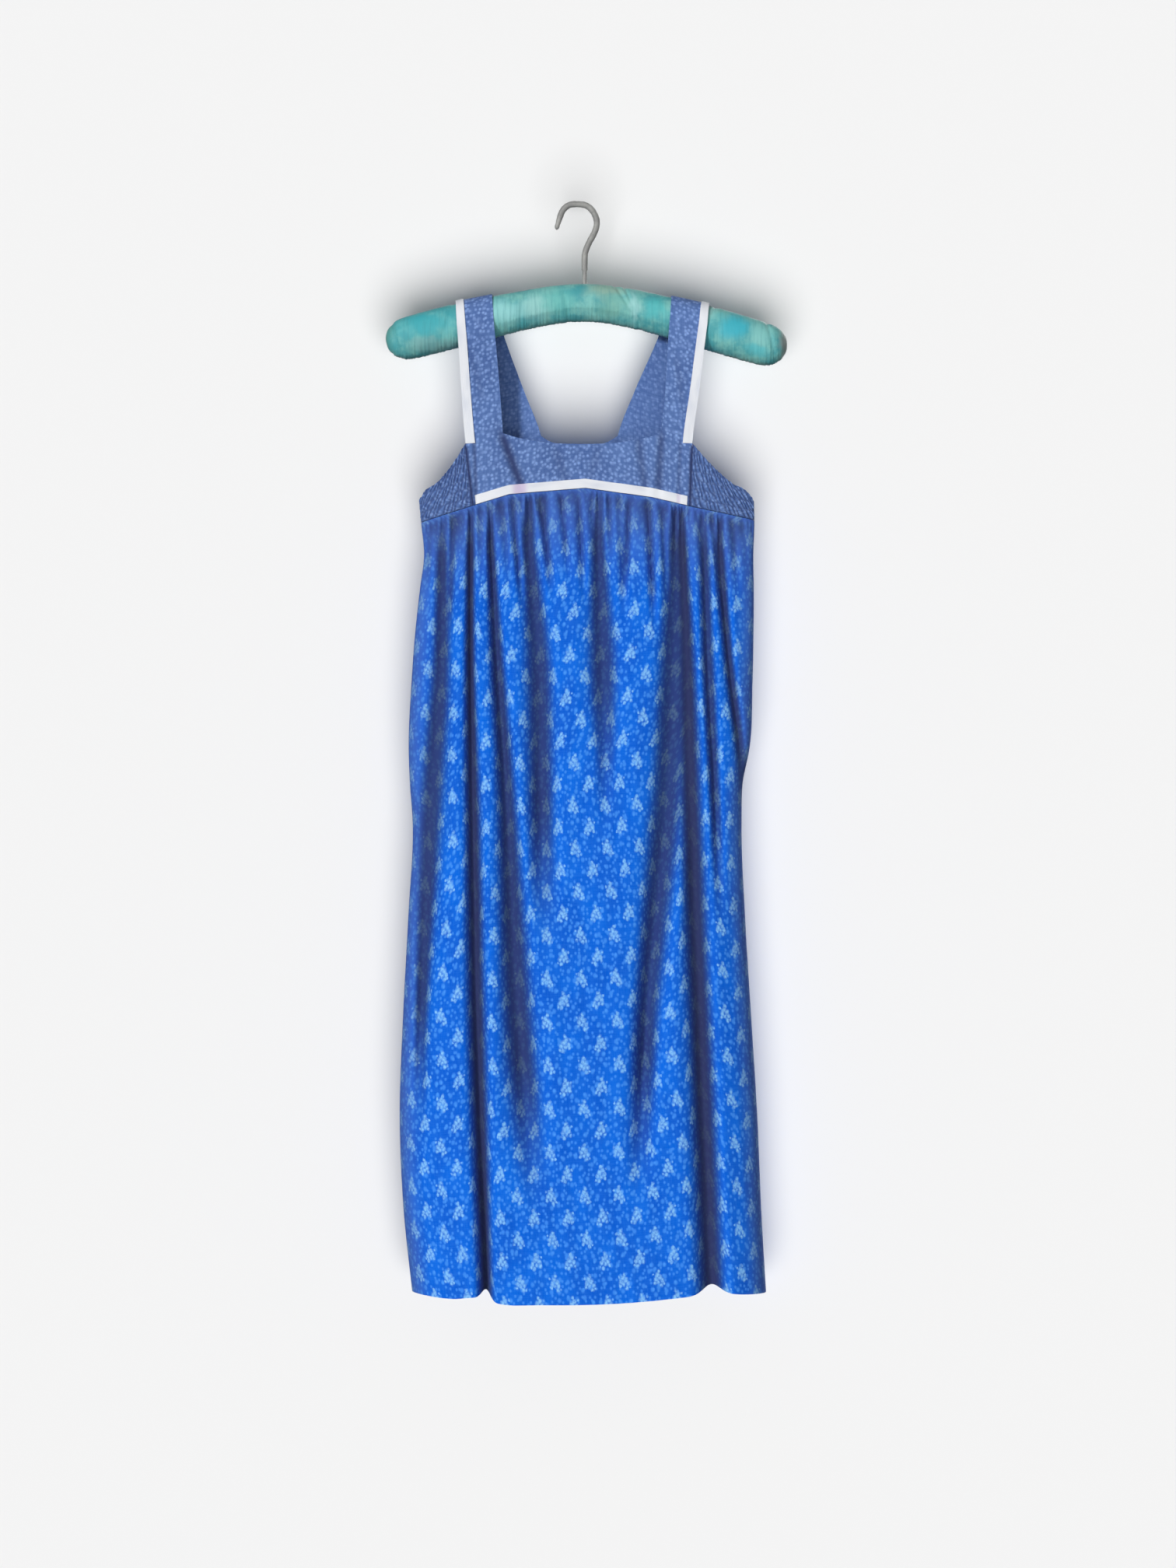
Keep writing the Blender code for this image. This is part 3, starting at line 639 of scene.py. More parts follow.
def calico(name, ground, deep, dot_color, painted_shade_color, sprig_color=None, print_share=1.0):
    """Printed cotton. Its wrong side takes a smaller share of the print. Shade is painted into it,
    darker and greyer, down in its folds and gathers, in its creases and along its seams."""
    look = Shading(name)
    flat = flat_coordinates(look)
    valley = look.mark("valley")
    faded = look.mark("faded")
    normal, slubs = weave(look, flat)
    patchy = look.grain(flat, (26, 14), 3.0)
    color = look.mix(look.ramp(patchy, 0.35, 0.68), deep, ground)
    streaks = look.ramp(slubs, 0.75, 1.25, 0.0, STREAK_SHARE)
    color = look.mix(streaks, color, dot_color)
    small_kind, large_kind = SKIRT_DOTS if sprig_color else BODICE_DOTS
    small = dots(look, flat, small_kind)
    large = dots(look, look.vector("ADD", flat, DOTS_APART), large_kind)
    if not sprig_color:
        faint = look.ramp(look.grain(flat, (150, 150), 2.0), 0.3, 0.7, 0.3, 0.8)
        small = look.times(small, faint)
    color = look.mix(look.times(small, small_kind.share * print_share), color, dot_color)
    color = look.mix(look.times(large, large_kind.share * print_share), color, dot_color)
    if sprig_color:
        broken = look.ramp(look.grain(flat, (380, 380), 3.0), 0.32, 0.6, 0.42, 0.95)
        posy = look.times(sprigs(look, flat), broken)
        color = look.mix(look.times(posy, print_share), color, sprig_color)
    # Greyer towards the top of the skirt and at its sides
    color = look.mix(faded, color, look.mix(GREYED_SHARE, color, GREYED_COLOR))
    # Painted shade: darker and greyer where folds, gathers, creases and seams hold back the light
    color = look.mix(valley, color, look.mix(PAINTED_SHADE_SHARE, color, painted_shade_color))
    look.set(base_color=color, roughness=0.88, normal=normal)
    look.set(sheen_weight=0.06, sheen_roughness=0.5, specular_ior_level=0.08)
    return look.material


def white_tape_material():
    """Cotton tape with fine ribs along it."""
    look = Shading("white_tape_looks")
    flat = flat_coordinates(look)
    parts = look.apart(flat)
    ribs = look.math("SINE", look.times(parts["X"], 2 * math.pi / TAPE_RIB))
    fuzz = look.grain(flat, (700, 120), 3.0)
    height = look.plus(look.times(ribs, 0.4), fuzz)
    worn = look.grain(flat, (60, 22), 2.0)
    color = look.mix(look.ramp(worn, 0.4, 0.75), rgb(232, 236, 244), rgb(214, 220, 233))
    # A purplish tint where the mark asks for it
    stain = look.mark("stain")
    color = look.mix(stain, color, rgb(196, 178, 214))
    look.set(base_color=color, roughness=0.8, normal=look.bump(height, WEAVE_DEPTH, 0.7))
    look.set(sheen_weight=0.2, specular_ior_level=0.2)
    return look.material


# Patches on the hanger's cover: middle of each, how far it spreads, and its colour
PATCHES = table(
    "x drop wide high color share",
    (-0.160, 0.124, 0.034, 0.017, rgb(62, 172, 184), 0.95),
    (-0.203, 0.134, 0.012, 0.020, rgb(96, 164, 158), 0.8),
    (-0.150, 0.146, 0.030, 0.007, rgb(122, 176, 178), 0.8),
    (-0.076, 0.112, 0.018, 0.014, rgb(146, 212, 214), 0.95),
    (-0.046, 0.108, 0.016, 0.012, rgb(150, 208, 206), 0.9),
    (-0.018, 0.100, 0.018, 0.016, rgb(104, 190, 186), 0.7),
    (0.028, 0.090, 0.020, 0.010, rgb(148, 186, 172), 0.9),
    (0.036, 0.106, 0.018, 0.012, rgb(120, 180, 168), 0.7),
    (0.059, 0.106, 0.005, 0.018, rgb(150, 208, 208), 0.9),
    (0.082, 0.108, 0.014, 0.014, rgb(84, 190, 194), 0.8),
    (0.143, 0.106, 0.006, 0.012, rgb(150, 206, 204), 0.8),
    (0.164, 0.128, 0.019, 0.017, rgb(60, 180, 200), 0.95),
    (0.192, 0.130, 0.012, 0.018, rgb(132, 200, 198), 0.85),
    (0.190, 0.152, 0.014, 0.006, rgb(84, 190, 200), 0.7),
    (0.220, 0.146, 0.008, 0.016, rgb(142, 150, 150), 0.85),
)
PATCH_WANDER = 0.02


def teal_cloth_material():
    """Teal cover of the hanger, mottled with lighter and darker patches."""
    look = Shading("teal_cloth_looks")
    place = look.node("ShaderNodeTexCoord").outputs["Object"]
    mottle = look.grain(place, (46, 46, 40), 5.0, 0.62)
    color = look.mix(look.ramp(mottle, 0.36, 0.62), rgb(76, 164, 172), rgb(126, 196, 192))
    wander = look.node(
        "ShaderNodeTexNoise", {"Vector": place, "Scale": 60.0, "Detail": 3.0}
    ).outputs["Color"]
    wander = look.vector("SUBTRACT", wander, (0.5, 0.5, 0.5))
    wander = look.vector("MULTIPLY", wander, (PATCH_WANDER,) * 3)
    moved = look.vector("ADD", place, wander)
    for patch in PATCHES:
        middle = (patch.x, 0.0, -patch.drop)
        off = look.vector("SUBTRACT", moved, middle)
        off = look.vector("MULTIPLY", off, (1 / patch.wide, 0.0, 1 / patch.high))
        here = look.ramp(look.vector("LENGTH", off), 0.3, 1.35, patch.share, 0.0)
        color = look.mix(here, color, patch.color)
    streak = look.grain(place, (520, 90, 36), 3.0)
    color = look.mix(look.ramp(streak, 0.45, 0.75, 0.0, 0.30), color, rgb(60, 142, 152))
    fibres = look.grain(place, (900, 900, 500), 2.0)
    soft = look.bump(streak, 0.0004, 0.5)
    normal = look.bump(fibres, 0.00015, 0.7, soft)
    look.set(base_color=color, roughness=0.62, normal=normal)
    look.set(sheen_weight=0.35, sheen_roughness=0.35, specular_ior_level=0.35)
    return look.material


def hook_material():
    """Grey plastic sleeve over the hook's wire, scuffed and a little dusty."""
    look = Shading("hook_cover_looks")
    place = look.node("ShaderNodeTexCoord").outputs["Object"]
    scuffs = look.noise(place, 420, 4.0, 0.6)
    dust = look.noise(place, 90, 2.0)
    color = look.mix(look.ramp(dust, 0.35, 0.7), rgb(140, 141, 141), rgb(160, 161, 160))
    color = look.mix(look.ramp(scuffs, 0.58, 0.75, 0.0, 0.5), color, rgb(106, 108, 110))
    roughness = look.ramp(scuffs, 0.3, 0.7, 0.42, 0.62)
    look.set(base_color=color, roughness=roughness, normal=look.bump(scuffs, 0.0001, 0.5))
    look.set(specular_ior_level=0.4)
    return look.material


def make_materials():
    # The last colour of each cloth is its painted shade, for its folds, gathers, creases and seams
    bodice = (rgb(82, 112, 172), rgb(72, 100, 160), rgb(146, 178, 236), rgb(50, 60, 104))
    skirt = (rgb(0, 104, 228), rgb(0, 90, 212), rgb(78, 158, 252), rgb(48, 51, 86))
    sprig = rgb(140, 202, 255)
    return {
        "bodice": calico("bodice_calico_looks", *bodice),
        "bodice_inside": calico("bodice_calico_wrong_side", *bodice, print_share=0.5),
        "skirt": calico("skirt_calico_looks", *skirt, sprig),
        "skirt_inside": calico("skirt_calico_wrong_side", *skirt, sprig, print_share=0.4),
        "tape": white_tape_material(),
        "teal": teal_cloth_material(),
        "hook": hook_material(),
    }


# Cloth meshes


SHARP_ANGLE = math.radians(55)


def grid_normals(grid):
    down = np.gradient(grid, axis=0)
    right = np.gradient(grid, axis=1)
    normals = np.cross(down, right)
    return normals / np.maximum(np.linalg.norm(normals, axis=2, keepdims=True), 1e-12)


def level_normals(grid):
    normals = grid_normals(grid)
    normals[..., 2] = 0
    return normals / np.linalg.norm(normals, axis=2, keepdims=True)


def mesh_object(name, points, faces, materials, flat=None, face_materials=None, marks=None):
    mesh = bpy.data.meshes.new(name)
    mesh.from_pydata(np.asarray(points).tolist(), [], faces)
    for material in materials:
        mesh.materials.append(material)
    if face_materials is not None:
        mesh.polygons.foreach_set("material_index", np.asarray(face_materials, np.int32))
    if flat is not None:
        corners = np.empty(len(mesh.loops), np.int32)
        mesh.loops.foreach_get("vertex_index", corners)
        layer = mesh.uv_layers.new(name="flat")
        layer.data.foreach_set("uv", np.asarray(flat, np.float32)[corners].ravel())
    for mark, values in (marks or {}).items():
        attribute = mesh.attributes.new(mark, "FLOAT", "POINT")
        attribute.data.foreach_set("value", np.asarray(values, np.float32))
    mesh.update()
    mesh.shade_smooth()
    mesh.set_sharp_from_angle(angle=SHARP_ANGLE)
    obj = bpy.data.objects.new(name, mesh)
    bpy.context.scene.collection.objects.link(obj)
    return obj


def cloth(
    node, slot, outer, flat, materials, wall=COTTON, facing=0, level_rims=False, keep=None, marks=None
):
    """A thin closed shell in place of a node. Its rows are outer points, with its wall behind
    them. The first material shows outside, and the last inside. Cells that aren't kept are
    left out. Marks are shares for the materials, by point."""
    normals = level_normals(outer) if level_rims else grid_normals(outer)
    inner = outer - np.broadcast_to(np.asarray(wall, float), outer.shape[:2])[..., None] * normals
    if facing:
        inner[..., 1] = facing * np.maximum(facing * inner[..., 1], SEAM_GAP / 2)
    height, width = outer.shape[:2]
    rows, columns = np.nonzero(np.ones((height - 1, width - 1), bool) if keep is None else keep)
    a = rows * width + columns
    quads = np.stack([a, a + width, a + width + 1, a + 1], axis=1)
    back = height * width
    faces = np.concatenate([quads, quads[:, ::-1] + back])
    starts = quads.ravel()
    ends = np.roll(quads, -1, axis=1).ravel()
    edge_codes = starts * back + ends
    lone = ~np.isin(edge_codes, ends * back + starts)
    rims = np.stack([ends[lone], starts[lone], starts[lone] + back, ends[lone] + back], axis=1)
    faces = np.concatenate([faces, rims])
    inside = np.zeros(len(faces), int)
    inside[len(quads) : 2 * len(quads)] = len(materials) - 1
    points = np.concatenate([outer.reshape(-1, 3), inner.reshape(-1, 3)])
    flat = np.concatenate([flat.reshape(-1, 2)] * 2)
    used = np.unique(faces)
    place = np.zeros(len(points), int)
    place[used] = np.arange(len(used))
    marks = {mark: np.concatenate([values.ravel()] * 2)[used] for mark, values in (marks or {}).items()}
    faces = place[faces].tolist()
    obj = mesh_object(node + "_cloth", points[used], faces, materials, flat[used], inside, marks)
    stand_for(obj, node, slot)
    return obj


def stand_for(obj, node, slot):
    """Ties a piece to the body and hides the solid that it stands for. Its slot is not used."""
    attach(obj, "root")
    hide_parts(node)


def lengths_along(grid, axis):
    """Distance of each point along its row or column, from the first."""
    steps = np.linalg.norm(np.diff(grid, axis=axis), axis=2)
    start = np.zeros_like(np.take(steps, [0], axis=axis))
    return np.concatenate([start, np.cumsum(steps, axis=axis)], axis=axis)


def in_row_order(grid, facing):
    """Columns in order from left to right, as seen from outside."""
    return grid if facing == FRONT else grid[:, ::-1]


def crease_depth(creases, across, drop):
    """How deep the soft creases press the cloth in."""
    depth = np.zeros(np.broadcast(across, drop).shape)
    for crease in creases:
        along = np.array([crease.to_across - crease.across, crease.to_drop - crease.drop])
        length = np.linalg.norm(along)
        along = along / length
        far = (across - crease.across) * along[0] + (drop - crease.drop) * along[1]
        off = (across - crease.across) * along[1] - (drop - crease.drop) * along[0]
        past = np.maximum(np.abs(far - length / 2) - length / 2, 0)
        depth += crease.depth * np.exp(-((off / crease.width) ** 2) - (past / CREASE_ENDS) ** 2)
    return depth


# Dress


def pad_mid_drop(across):
    arch = np.sqrt(PAD_CROWN**2 + (PAD_SLOPE * across) ** 2) - PAD_CROWN
    return PAD_DROP + arch + across * math.tan(PAD_TILT)


def pad_half_height(across):
    return smooth_column(PAD_SECTIONS, "distance", "half_height", abs(across))


def pad_top_drop():
    return pad_mid_drop(0.0) - pad_half_height(0.0)


def reach_at(across, drop):
    right = smooth_column(OUTLINE, "drop", "right", drop)
    left = smooth_column(OUTLINE, "drop", "left", drop)
    return np.where(np.asarray(across) < 0, right, left)


def depth_at(across, drop, puff=0.0):
    share = np.clip(np.abs(across) / reach_at(across, drop), 0, 1)
    full = smooth_column(OUTLINE, "drop", "depth", drop) + puff
    return full * np.sqrt(1 - share**EDGE_POWER)


def point_on(across, y, drop):
    return np.stack(np.broadcast_arrays(MIDDLE_X + across, y, -np.asarray(drop)), axis=-1)


def waist_drop(across, facing):
    """Drop of the seam under the bodice. In front its runs are straight and meet in a peak."""
    if facing == FRONT:
        points = WAIST[FRONT]
        return np.interp(across, [point.across for point in points], [point.drop for point in points])
    return smooth_column(WAIST[BACK], "across", "drop", across)


def neck_drop(across, facing):
    corner = YOKE_EDGES[facing][3]
    middle = (corner.right_inner + corner.left_inner) / 2
    half = (corner.left_inner - corner.right_inner) / 2
    share = np.clip(np.abs(across - middle) / half, 0, 1)
    return NECK_CORNER_DROP + NECK_SAG[facing] * (1 - share ** NECK_SAG_POWER[facing])


def yoke_across(facing, laterals, drops):
    laterals, drops = np.broadcast_arrays(np.asarray(laterals, float), drops)
    edges = np.array([smooth_column(YOKE_EDGES[facing], "drop", name, drops) for name in YOKE_LINES])
    low = np.clip(np.floor(laterals).astype(int), 0, 2)
    here = np.take_along_axis(edges, low[None], 0)[0]
    beside = np.take_along_axis(edges, low[None] + 1, 0)[0]
    return mixed(here, beside, laterals - low)


def yoke_row(facing, laterals, level):
    """Outer points across a yoke. Its level is 0 at the shoulder seam on top of the hanger, 1
    where the strap leaves the padding, 2 at the neckline and 3 at the seam to the skirt."""
    drops = (YOKE_EDGES[facing][0].drop, STRAP_LEAVES_DROP, NECK_CORNER_DROP, YOKE_FOOT_DROP)
    across = yoke_across(facing, laterals, np.interp(level, (0, 1, 2, 3), drops))
    half_up = pad_half_height(across) / math.cos(math.atan(PAD_SLOPE)) + PAD_CLEARANCE + CLOTH_WALL
    half_out = pad_half_height(across) * PAD_DEPTH_SHARE + PAD_CLEARANCE + CLOTH_WALL
    middle = pad_mid_drop(across)
    if level <= 1:
        turn = math.pi / 2 * (1 - level)
        y = half_out * math.cos(turn)
        drop = middle - half_up * math.sin(turn)
    elif level <= 2:
        t = level - 1
        neck = neck_drop(across, facing)
        drop = mixed(middle, neck, t)
        y = mixed(half_out, depth_at(across, neck), eased(t))
    else:
        for _ in range(3):
            waist = waist_drop(across, facing) - SEAM_GAP
            drop = mixed(neck_drop(across, facing), waist, level - 2)
            across = yoke_across(facing, laterals, drop)
        y = depth_at(across, drop)
    return point_on(across, facing * np.maximum(y, SEAM_GAP / 2), drop)


HANGS_WITHIN = 0.03
YOKE_RIPPLE = 0.00035


def pressed_in(grid, facing, creases, share=1.0):
    """The grid with soft creases, which lie on the hanging cloth only."""
    across, drop = grid[..., 0] - MIDDLE_X, -grid[..., 2]
    hanging = eased((drop - STRAP_LEAVES_DROP) / HANGS_WITHIN)
    depth = crease_depth(creases, across, drop) * hanging * share
    ripple = np.sin(across * 190 + 2.2 * np.sin(drop * 31)) * np.sin(drop * 74 + 1.3)
    out = grid.copy()
    out[..., 1] -= facing * (depth + YOKE_RIPPLE * ripple * hanging)
    return out


STRAP_COLUMNS = 30
NECK_COLUMNS = 110
ARC_STEPS = 22
STRAP_STEPS = 84
YOKE_STEPS = 52
YOKE_CREASE_SHADE = 0.8
SEAM_SHADE_GROWS = 0.006


def yoke_levels():
    return stepped((0, 1, ARC_STEPS), (1, 2, STRAP_STEPS), (2, 3, YOKE_STEPS))


def make_yoke(node, facing, materials):
    laterals = stepped((0, 1, STRAP_COLUMNS), (1, 2, NECK_COLUMNS), (2, 3, STRAP_COLUMNS))
    grid = np.array([yoke_row(facing, laterals, level) for level in yoke_levels()])
    grid = pressed_in(grid, facing, YOKE_CREASES[facing])
    flat = np.stack([grid[..., 0], -lengths_along(grid, 0)], axis=-1)
    keep = np.ones((grid.shape[0] - 1, grid.shape[1] - 1), bool)
    keep[: ARC_STEPS + STRAP_STEPS, STRAP_COLUMNS : STRAP_COLUMNS + NECK_COLUMNS] = False
    shaded = yoke_shade(grid, facing, laterals)
    outer, flat, shaded = (in_row_order(part, facing) for part in (grid, flat, shaded))
    sides = [materials["bodice"], materials["bodice_inside"]]
    marks = {"valley": shaded}
    obj = cloth(node, "bodice_calico", outer, flat, sides, facing=facing, keep=keep, marks=marks)


def yoke_shade(grid, facing, laterals):
    """How much the creases and the seams to the side panels hold back the light."""
    across, drop = grid[..., 0] - MIDDLE_X, -grid[..., 2]
    creased = crease_depth(YOKE_CREASES[facing], across, drop) / CREASE_DARKEST
    from_side = np.minimum(laterals, 3 - laterals)[None] * STRAP_WIDTH
    seam = bell(from_side / SEAM_SHADE_WIDTH) * eased((drop - ARMHOLE_TOP_DROP) / SEAM_SHADE_GROWS)
    return np.clip(YOKE_CREASE_SHADE * creased + SEAM_SHADE * seam, 0, 1)


def seam_across(facing, side, drop):
    return yoke_across(facing, 0 if side < 0 else 3, drop) + side * SEAM_GAP


def shirring(run, below, facing, side):
    """Height of the little gathers between rows of elastic, from distances across and down."""
    row = below / SHIRR_ROW
    index = np.floor(row)
    # Each row is shifted and wanders on its own, so that no two are alike.
    shift = ((index * GOLDEN + 0.37 * side + 0.21 * facing) % 1 - 0.5) * 0.5
    wander = 0.22 * np.sin(run * 260 + index * 2.1) + 0.12 * np.sin(run * 610 - index)
    turns = (run + SHIRR_SLANT * below) / SHIRR_PITCH + shift + wander
    ridge = (0.5 + 0.5 * np.cos(2 * math.pi * turns)) ** 0.8
    puffed = np.abs(np.sin(math.pi * row)) ** 0.7
    return SHIRR_HEIGHT * (0.18 + 0.82 * puffed) * ridge


SIDE_COLUMNS = 120
SIDE_STEPS = 84
SEAM_LIES_FLAT = 0.004
SHIRR_SUNK = 0.0004


def make_side_panel(node, facing, side, materials):
    runs = np.linspace(0, 1, SIDE_COLUMNS + 1)
    falls = smooth_column(ARMHOLE, "run", "fall", runs)
    tops = mixed(ARMHOLE_TOP_DROP, ARMHOLE_LOW_DROP, falls)
    lows = np.full_like(tops, ARMHOLE_LOW_DROP)
    for _ in range(3):
        across = mixed(seam_across(facing, side, lows[0]), side * reach_at(side, lows), runs)
        lows = waist_drop(across, facing) - SEAM_GAP
    rows = []
    for level in np.linspace(0, 1, SIDE_STEPS + 1):
        drops = mixed(tops, lows, level)
        across = mixed(seam_across(facing, side, drops), side * reach_at(side, drops), runs)
        rows.append(point_on(across, facing * (depth_at(across, drops) + SEAM_GAP / 2), drops))
    grid = np.array(rows)
    # Seams and the side edge lie flat.
    run = lengths_along(grid, 1)
    above_seam = lows[None] + grid[..., 2]
    quiet = eased(np.minimum(run, run[:, -1:] - run) / SEAM_LIES_FLAT)
    height = shirring(run, above_seam, facing, side) * quiet
    seam = bell(run / SEAM_SHADE_WIDTH)
    shaded = SHIRR_SHADE * eased(1 - 1.6 * height / SHIRR_HEIGHT) * quiet
    shaded = np.clip(shaded + SEAM_SHADE * seam, 0, 1)
    if side * facing > 0:
        grid, height, shaded = (part[:, ::-1] for part in (grid, height, shaded))
    outer = grid + (height - SHIRR_SUNK * quiet)[..., None] * level_normals(grid)
    flat = np.stack([lengths_along(outer, 1), outer[..., 2]], axis=-1)
    sides = [materials["bodice"], materials["bodice_inside"]]
    marks = {"valley": shaded}
    obj = cloth(node, "bodice_calico", outer, flat, sides, COTTON, facing, level_rims=True, marks=marks)


def off_fold(fold, across, drop, widened):
    """Distance from the middle of a fold, in its half widths."""
    middle = smooth(FOLD_DROPS, fold.across, drop)
    return (across - middle) / (smooth(FOLD_DROPS, fold.width, drop) * widened)


def skirt_columns(facing, drop, count):
    """Places across the skirt, as shares of its reach, crowded where the folds run."""
    shares = np.linspace(-1, 1, 601)
    across = shares * reach_at(shares, drop)
    crowd = 1 + EDGE_CROWD * bell((1 - np.abs(shares)) / EDGE_WIDTH)
    for fold in FOLDS[facing]:
        crowd += FOLD_CROWD * bell(off_fold(fold, across, drop, CROWD_REACH))
    total = np.concatenate([[0], np.cumsum((crowd[1:] + crowd[:-1]) / 2 * np.diff(across))])
    return np.interp(np.linspace(0, total[-1], count + 1), total, shares)


FOLD_FIRST_SHARE = 0.6
FINE_GATHER_SHARE = 0.16
FINE_GATHER_GROWS = 0.005
FINE_GATHER_LENGTH = 0.026


def fold_shares(facing, across, drop, below):
    """How far the folds take the cloth in, as a share of the skirt's depth there, and how much
    they hold back the light."""
    left_out = np.ones_like(across)
    lit = np.ones_like(across)
    grown = eased(below / FOLD_GROWS) * mixed(FOLD_FIRST_SHARE, 1.0, eased(below / FOLD_WIDENS))
    narrowed = mixed(FOLD_NARROW, 1.0, eased(below / FOLD_WIDENS))
    for fold in FOLDS[facing]:
        strength = grown * eased((fold.end - drop) / FOLD_FADES)
        off = np.abs(off_fold(fold, across, drop, narrowed))
        left_out *= 1 - fold.share * strength * bell(off)
        lit *= 1 - fold.dark * strength * bell(off, FOLD_FLOOR_POWER)
    return 1 - left_out, 1 - lit


def gather_share(facing, across, drop, below, count):
    """How far the gathers under the seam take the cloth in: the drawn-up ones all along it,
    then the longer ones, given one by one."""
    turns = np.linspace(0, GATHER_COUNT[facing], count + 1)
    uneven = (np.floor(turns) * GOLDEN) % 1
    wave = ((1 - np.cos(2 * math.pi * turns)) / 2) ** 1.3
    narrow = ((1 - np.cos(4 * math.pi * turns + 1.0)) / 2) ** 1.5
    grown = eased(below / GATHER_GROWS)
    length = mixed(GATHER_SHORTEST, GATHER_LONGEST, uneven)
    left_out = 1 - GATHER_SHARE * mixed(0.6, 1.0, uneven) * wave * grown * eased(1 - below / length)
    fine = narrow * eased(below / FINE_GATHER_GROWS) * eased(1 - below / FINE_GATHER_LENGTH)
    left_out *= 1 - FINE_GATHER_SHARE * fine
    for gather in GATHERS[facing]:
        middle = gather.across + gather.lean * below
        strength = grown * eased((gather.end - drop) / GATHER_FADES)
        left_out *= 1 - gather.share * strength * bell((across - middle) / gather.width)
    return 1 - left_out


SKIRT_FINE_COLUMNS = {FRONT: 312, BACK: 294}
SKIRT_ROWS = 150
SKIRT_FLAT = (0.60, 0.86)
# Painted shade in the gathers
GATHER_DARK = 0.75
GATHER_DARKEST = 0.42  # share of the depth taken in where a gather's painted shade is at its darkest
# How much greyer the skirt is towards its top and at its sides
TOP_GREYED = 0.85
TOP_GREYED_LENGTH = 0.11
SIDE_GREYED = 0.72
SIDE_GREYED_WIDTH = 0.13  # as a share of the reach
ROWS_CROWD_UP = 1.35
SKIRT_RIPPLE = 0.0007
RIPPLE_GROWS = 0.1
RIPPLE_EDGE = 0.1  # as a share of the reach
HEM_STEP = 0.0015


def skirt_grid(facing):
    count = SKIRT_FINE_COLUMNS[facing]
    levels = np.linspace(0, 1, SKIRT_ROWS + 1) ** ROWS_CROWD_UP
    rows, painted_shades, tops = [], [], []
    for level in levels:
        nominal = mixed(WAIST_MIDDLE_DROP, max(point.drop for point in HEM), level)
        shares = skirt_columns(facing, nominal, count)
        drop = nominal
        for _ in range(3):
            across = shares * reach_at(shares, drop)
            top = waist_drop(across, facing) + CHORD_ROOM
            low = smooth_column(HEM, "across", "drop", across) - HEM_RISE[facing]
            drop = mixed(top, low, level)
        below = drop - top
        folded, shaded = fold_shares(facing, across, drop, below)
        gathered = gather_share(facing, across, drop, below, count)
        taken = 1 - (1 - folded) * (1 - gathered)
        puff = SKIRT_PUFF * eased(below / PUFF_LENGTH)
        depth = depth_at(across, drop, puff)
        drop = drop - HEM_LIFT * depth * taken * level**HEM_LIFT_POWER
        ripple = np.sin(across * 150 + 1.7 * np.sin(drop * 9)) * np.sin(drop * 17 + across * 21)
        ripple *= eased(below / RIPPLE_GROWS) * eased((1 - np.abs(shares)) / RIPPLE_EDGE)
        y = facing * (depth * (1 - taken) - SKIRT_RIPPLE * np.abs(ripple) + SEAM_GAP / 2)
        rows.append(point_on(across, y, drop))
        # Painted shade in the folds and gathers
        painted_shades.append(1 - (1 - shaded) * (1 - GATHER_DARK * eased(gathered / GATHER_DARKEST)))
        # Greyer towards the top of the skirt and at its sides
        sides = SIDE_GREYED * eased(1 - (1 - np.abs(shares)) / SIDE_GREYED_WIDTH)
        tops.append(np.maximum(TOP_GREYED * eased(1 - below / TOP_GREYED_LENGTH), sides))
    return np.array(rows), {"valley": np.array(painted_shades), "faded": np.array(tops)}


def make_skirt(node, facing, materials):
    grid, marks = skirt_grid(facing)
    along = lengths_along(grid, 1)
    share = along / along[:, -1:]
    hem_drop = -grid[-1, :, 2]
    flat_x = (share - 0.5) * SKIRT_FLAT[0]
    flat_y = grid[..., 2] + hem_drop[None]
    flat = np.stack([flat_x, flat_y], axis=-1)
    turned_up = eased((HEM_TURNED_UP - flat_y) / HEM_STEP)
    wall = mixed(COTTON, HEM_LAYERS, turned_up)
    sides = [materials["skirt"], materials["skirt_inside"]]
    outer, flat, wall = (in_row_order(part, facing) for part in (grid, flat, wall))
    marks = {mark: in_row_order(values, facing) for mark, values in marks.items()}
    obj = cloth(node, "skirt_calico", outer, flat, sides, wall, facing, level_rims=True, marks=marks)


# Tapes


TAPE_POINTS = 7
TAPE_LAST_LEVEL = 0.01
FRONT_TAPE_ROWS = 9
FRONT_TAPE_COLUMNS = 90
FRONT_TAPE_END_COLUMNS = 20
FRONT_TAPE_CREASED = 0.7


def make_tape(node, outer, long_axis, materials, rests_on, **settings):
    """A tape as cloth, with its length measured down its middle."""
    across, along = lengths_along(outer, 1 - long_axis), lengths_along(outer, long_axis)
    flat = np.stack([across, along], axis=-1)
    obj = cloth(node, "white_tape", outer, flat, [materials["tape"]], TAPE, **settings)
    length = round(float(along.take(-1, axis=long_axis)[outer.shape[1 - long_axis] // 2]), 3)


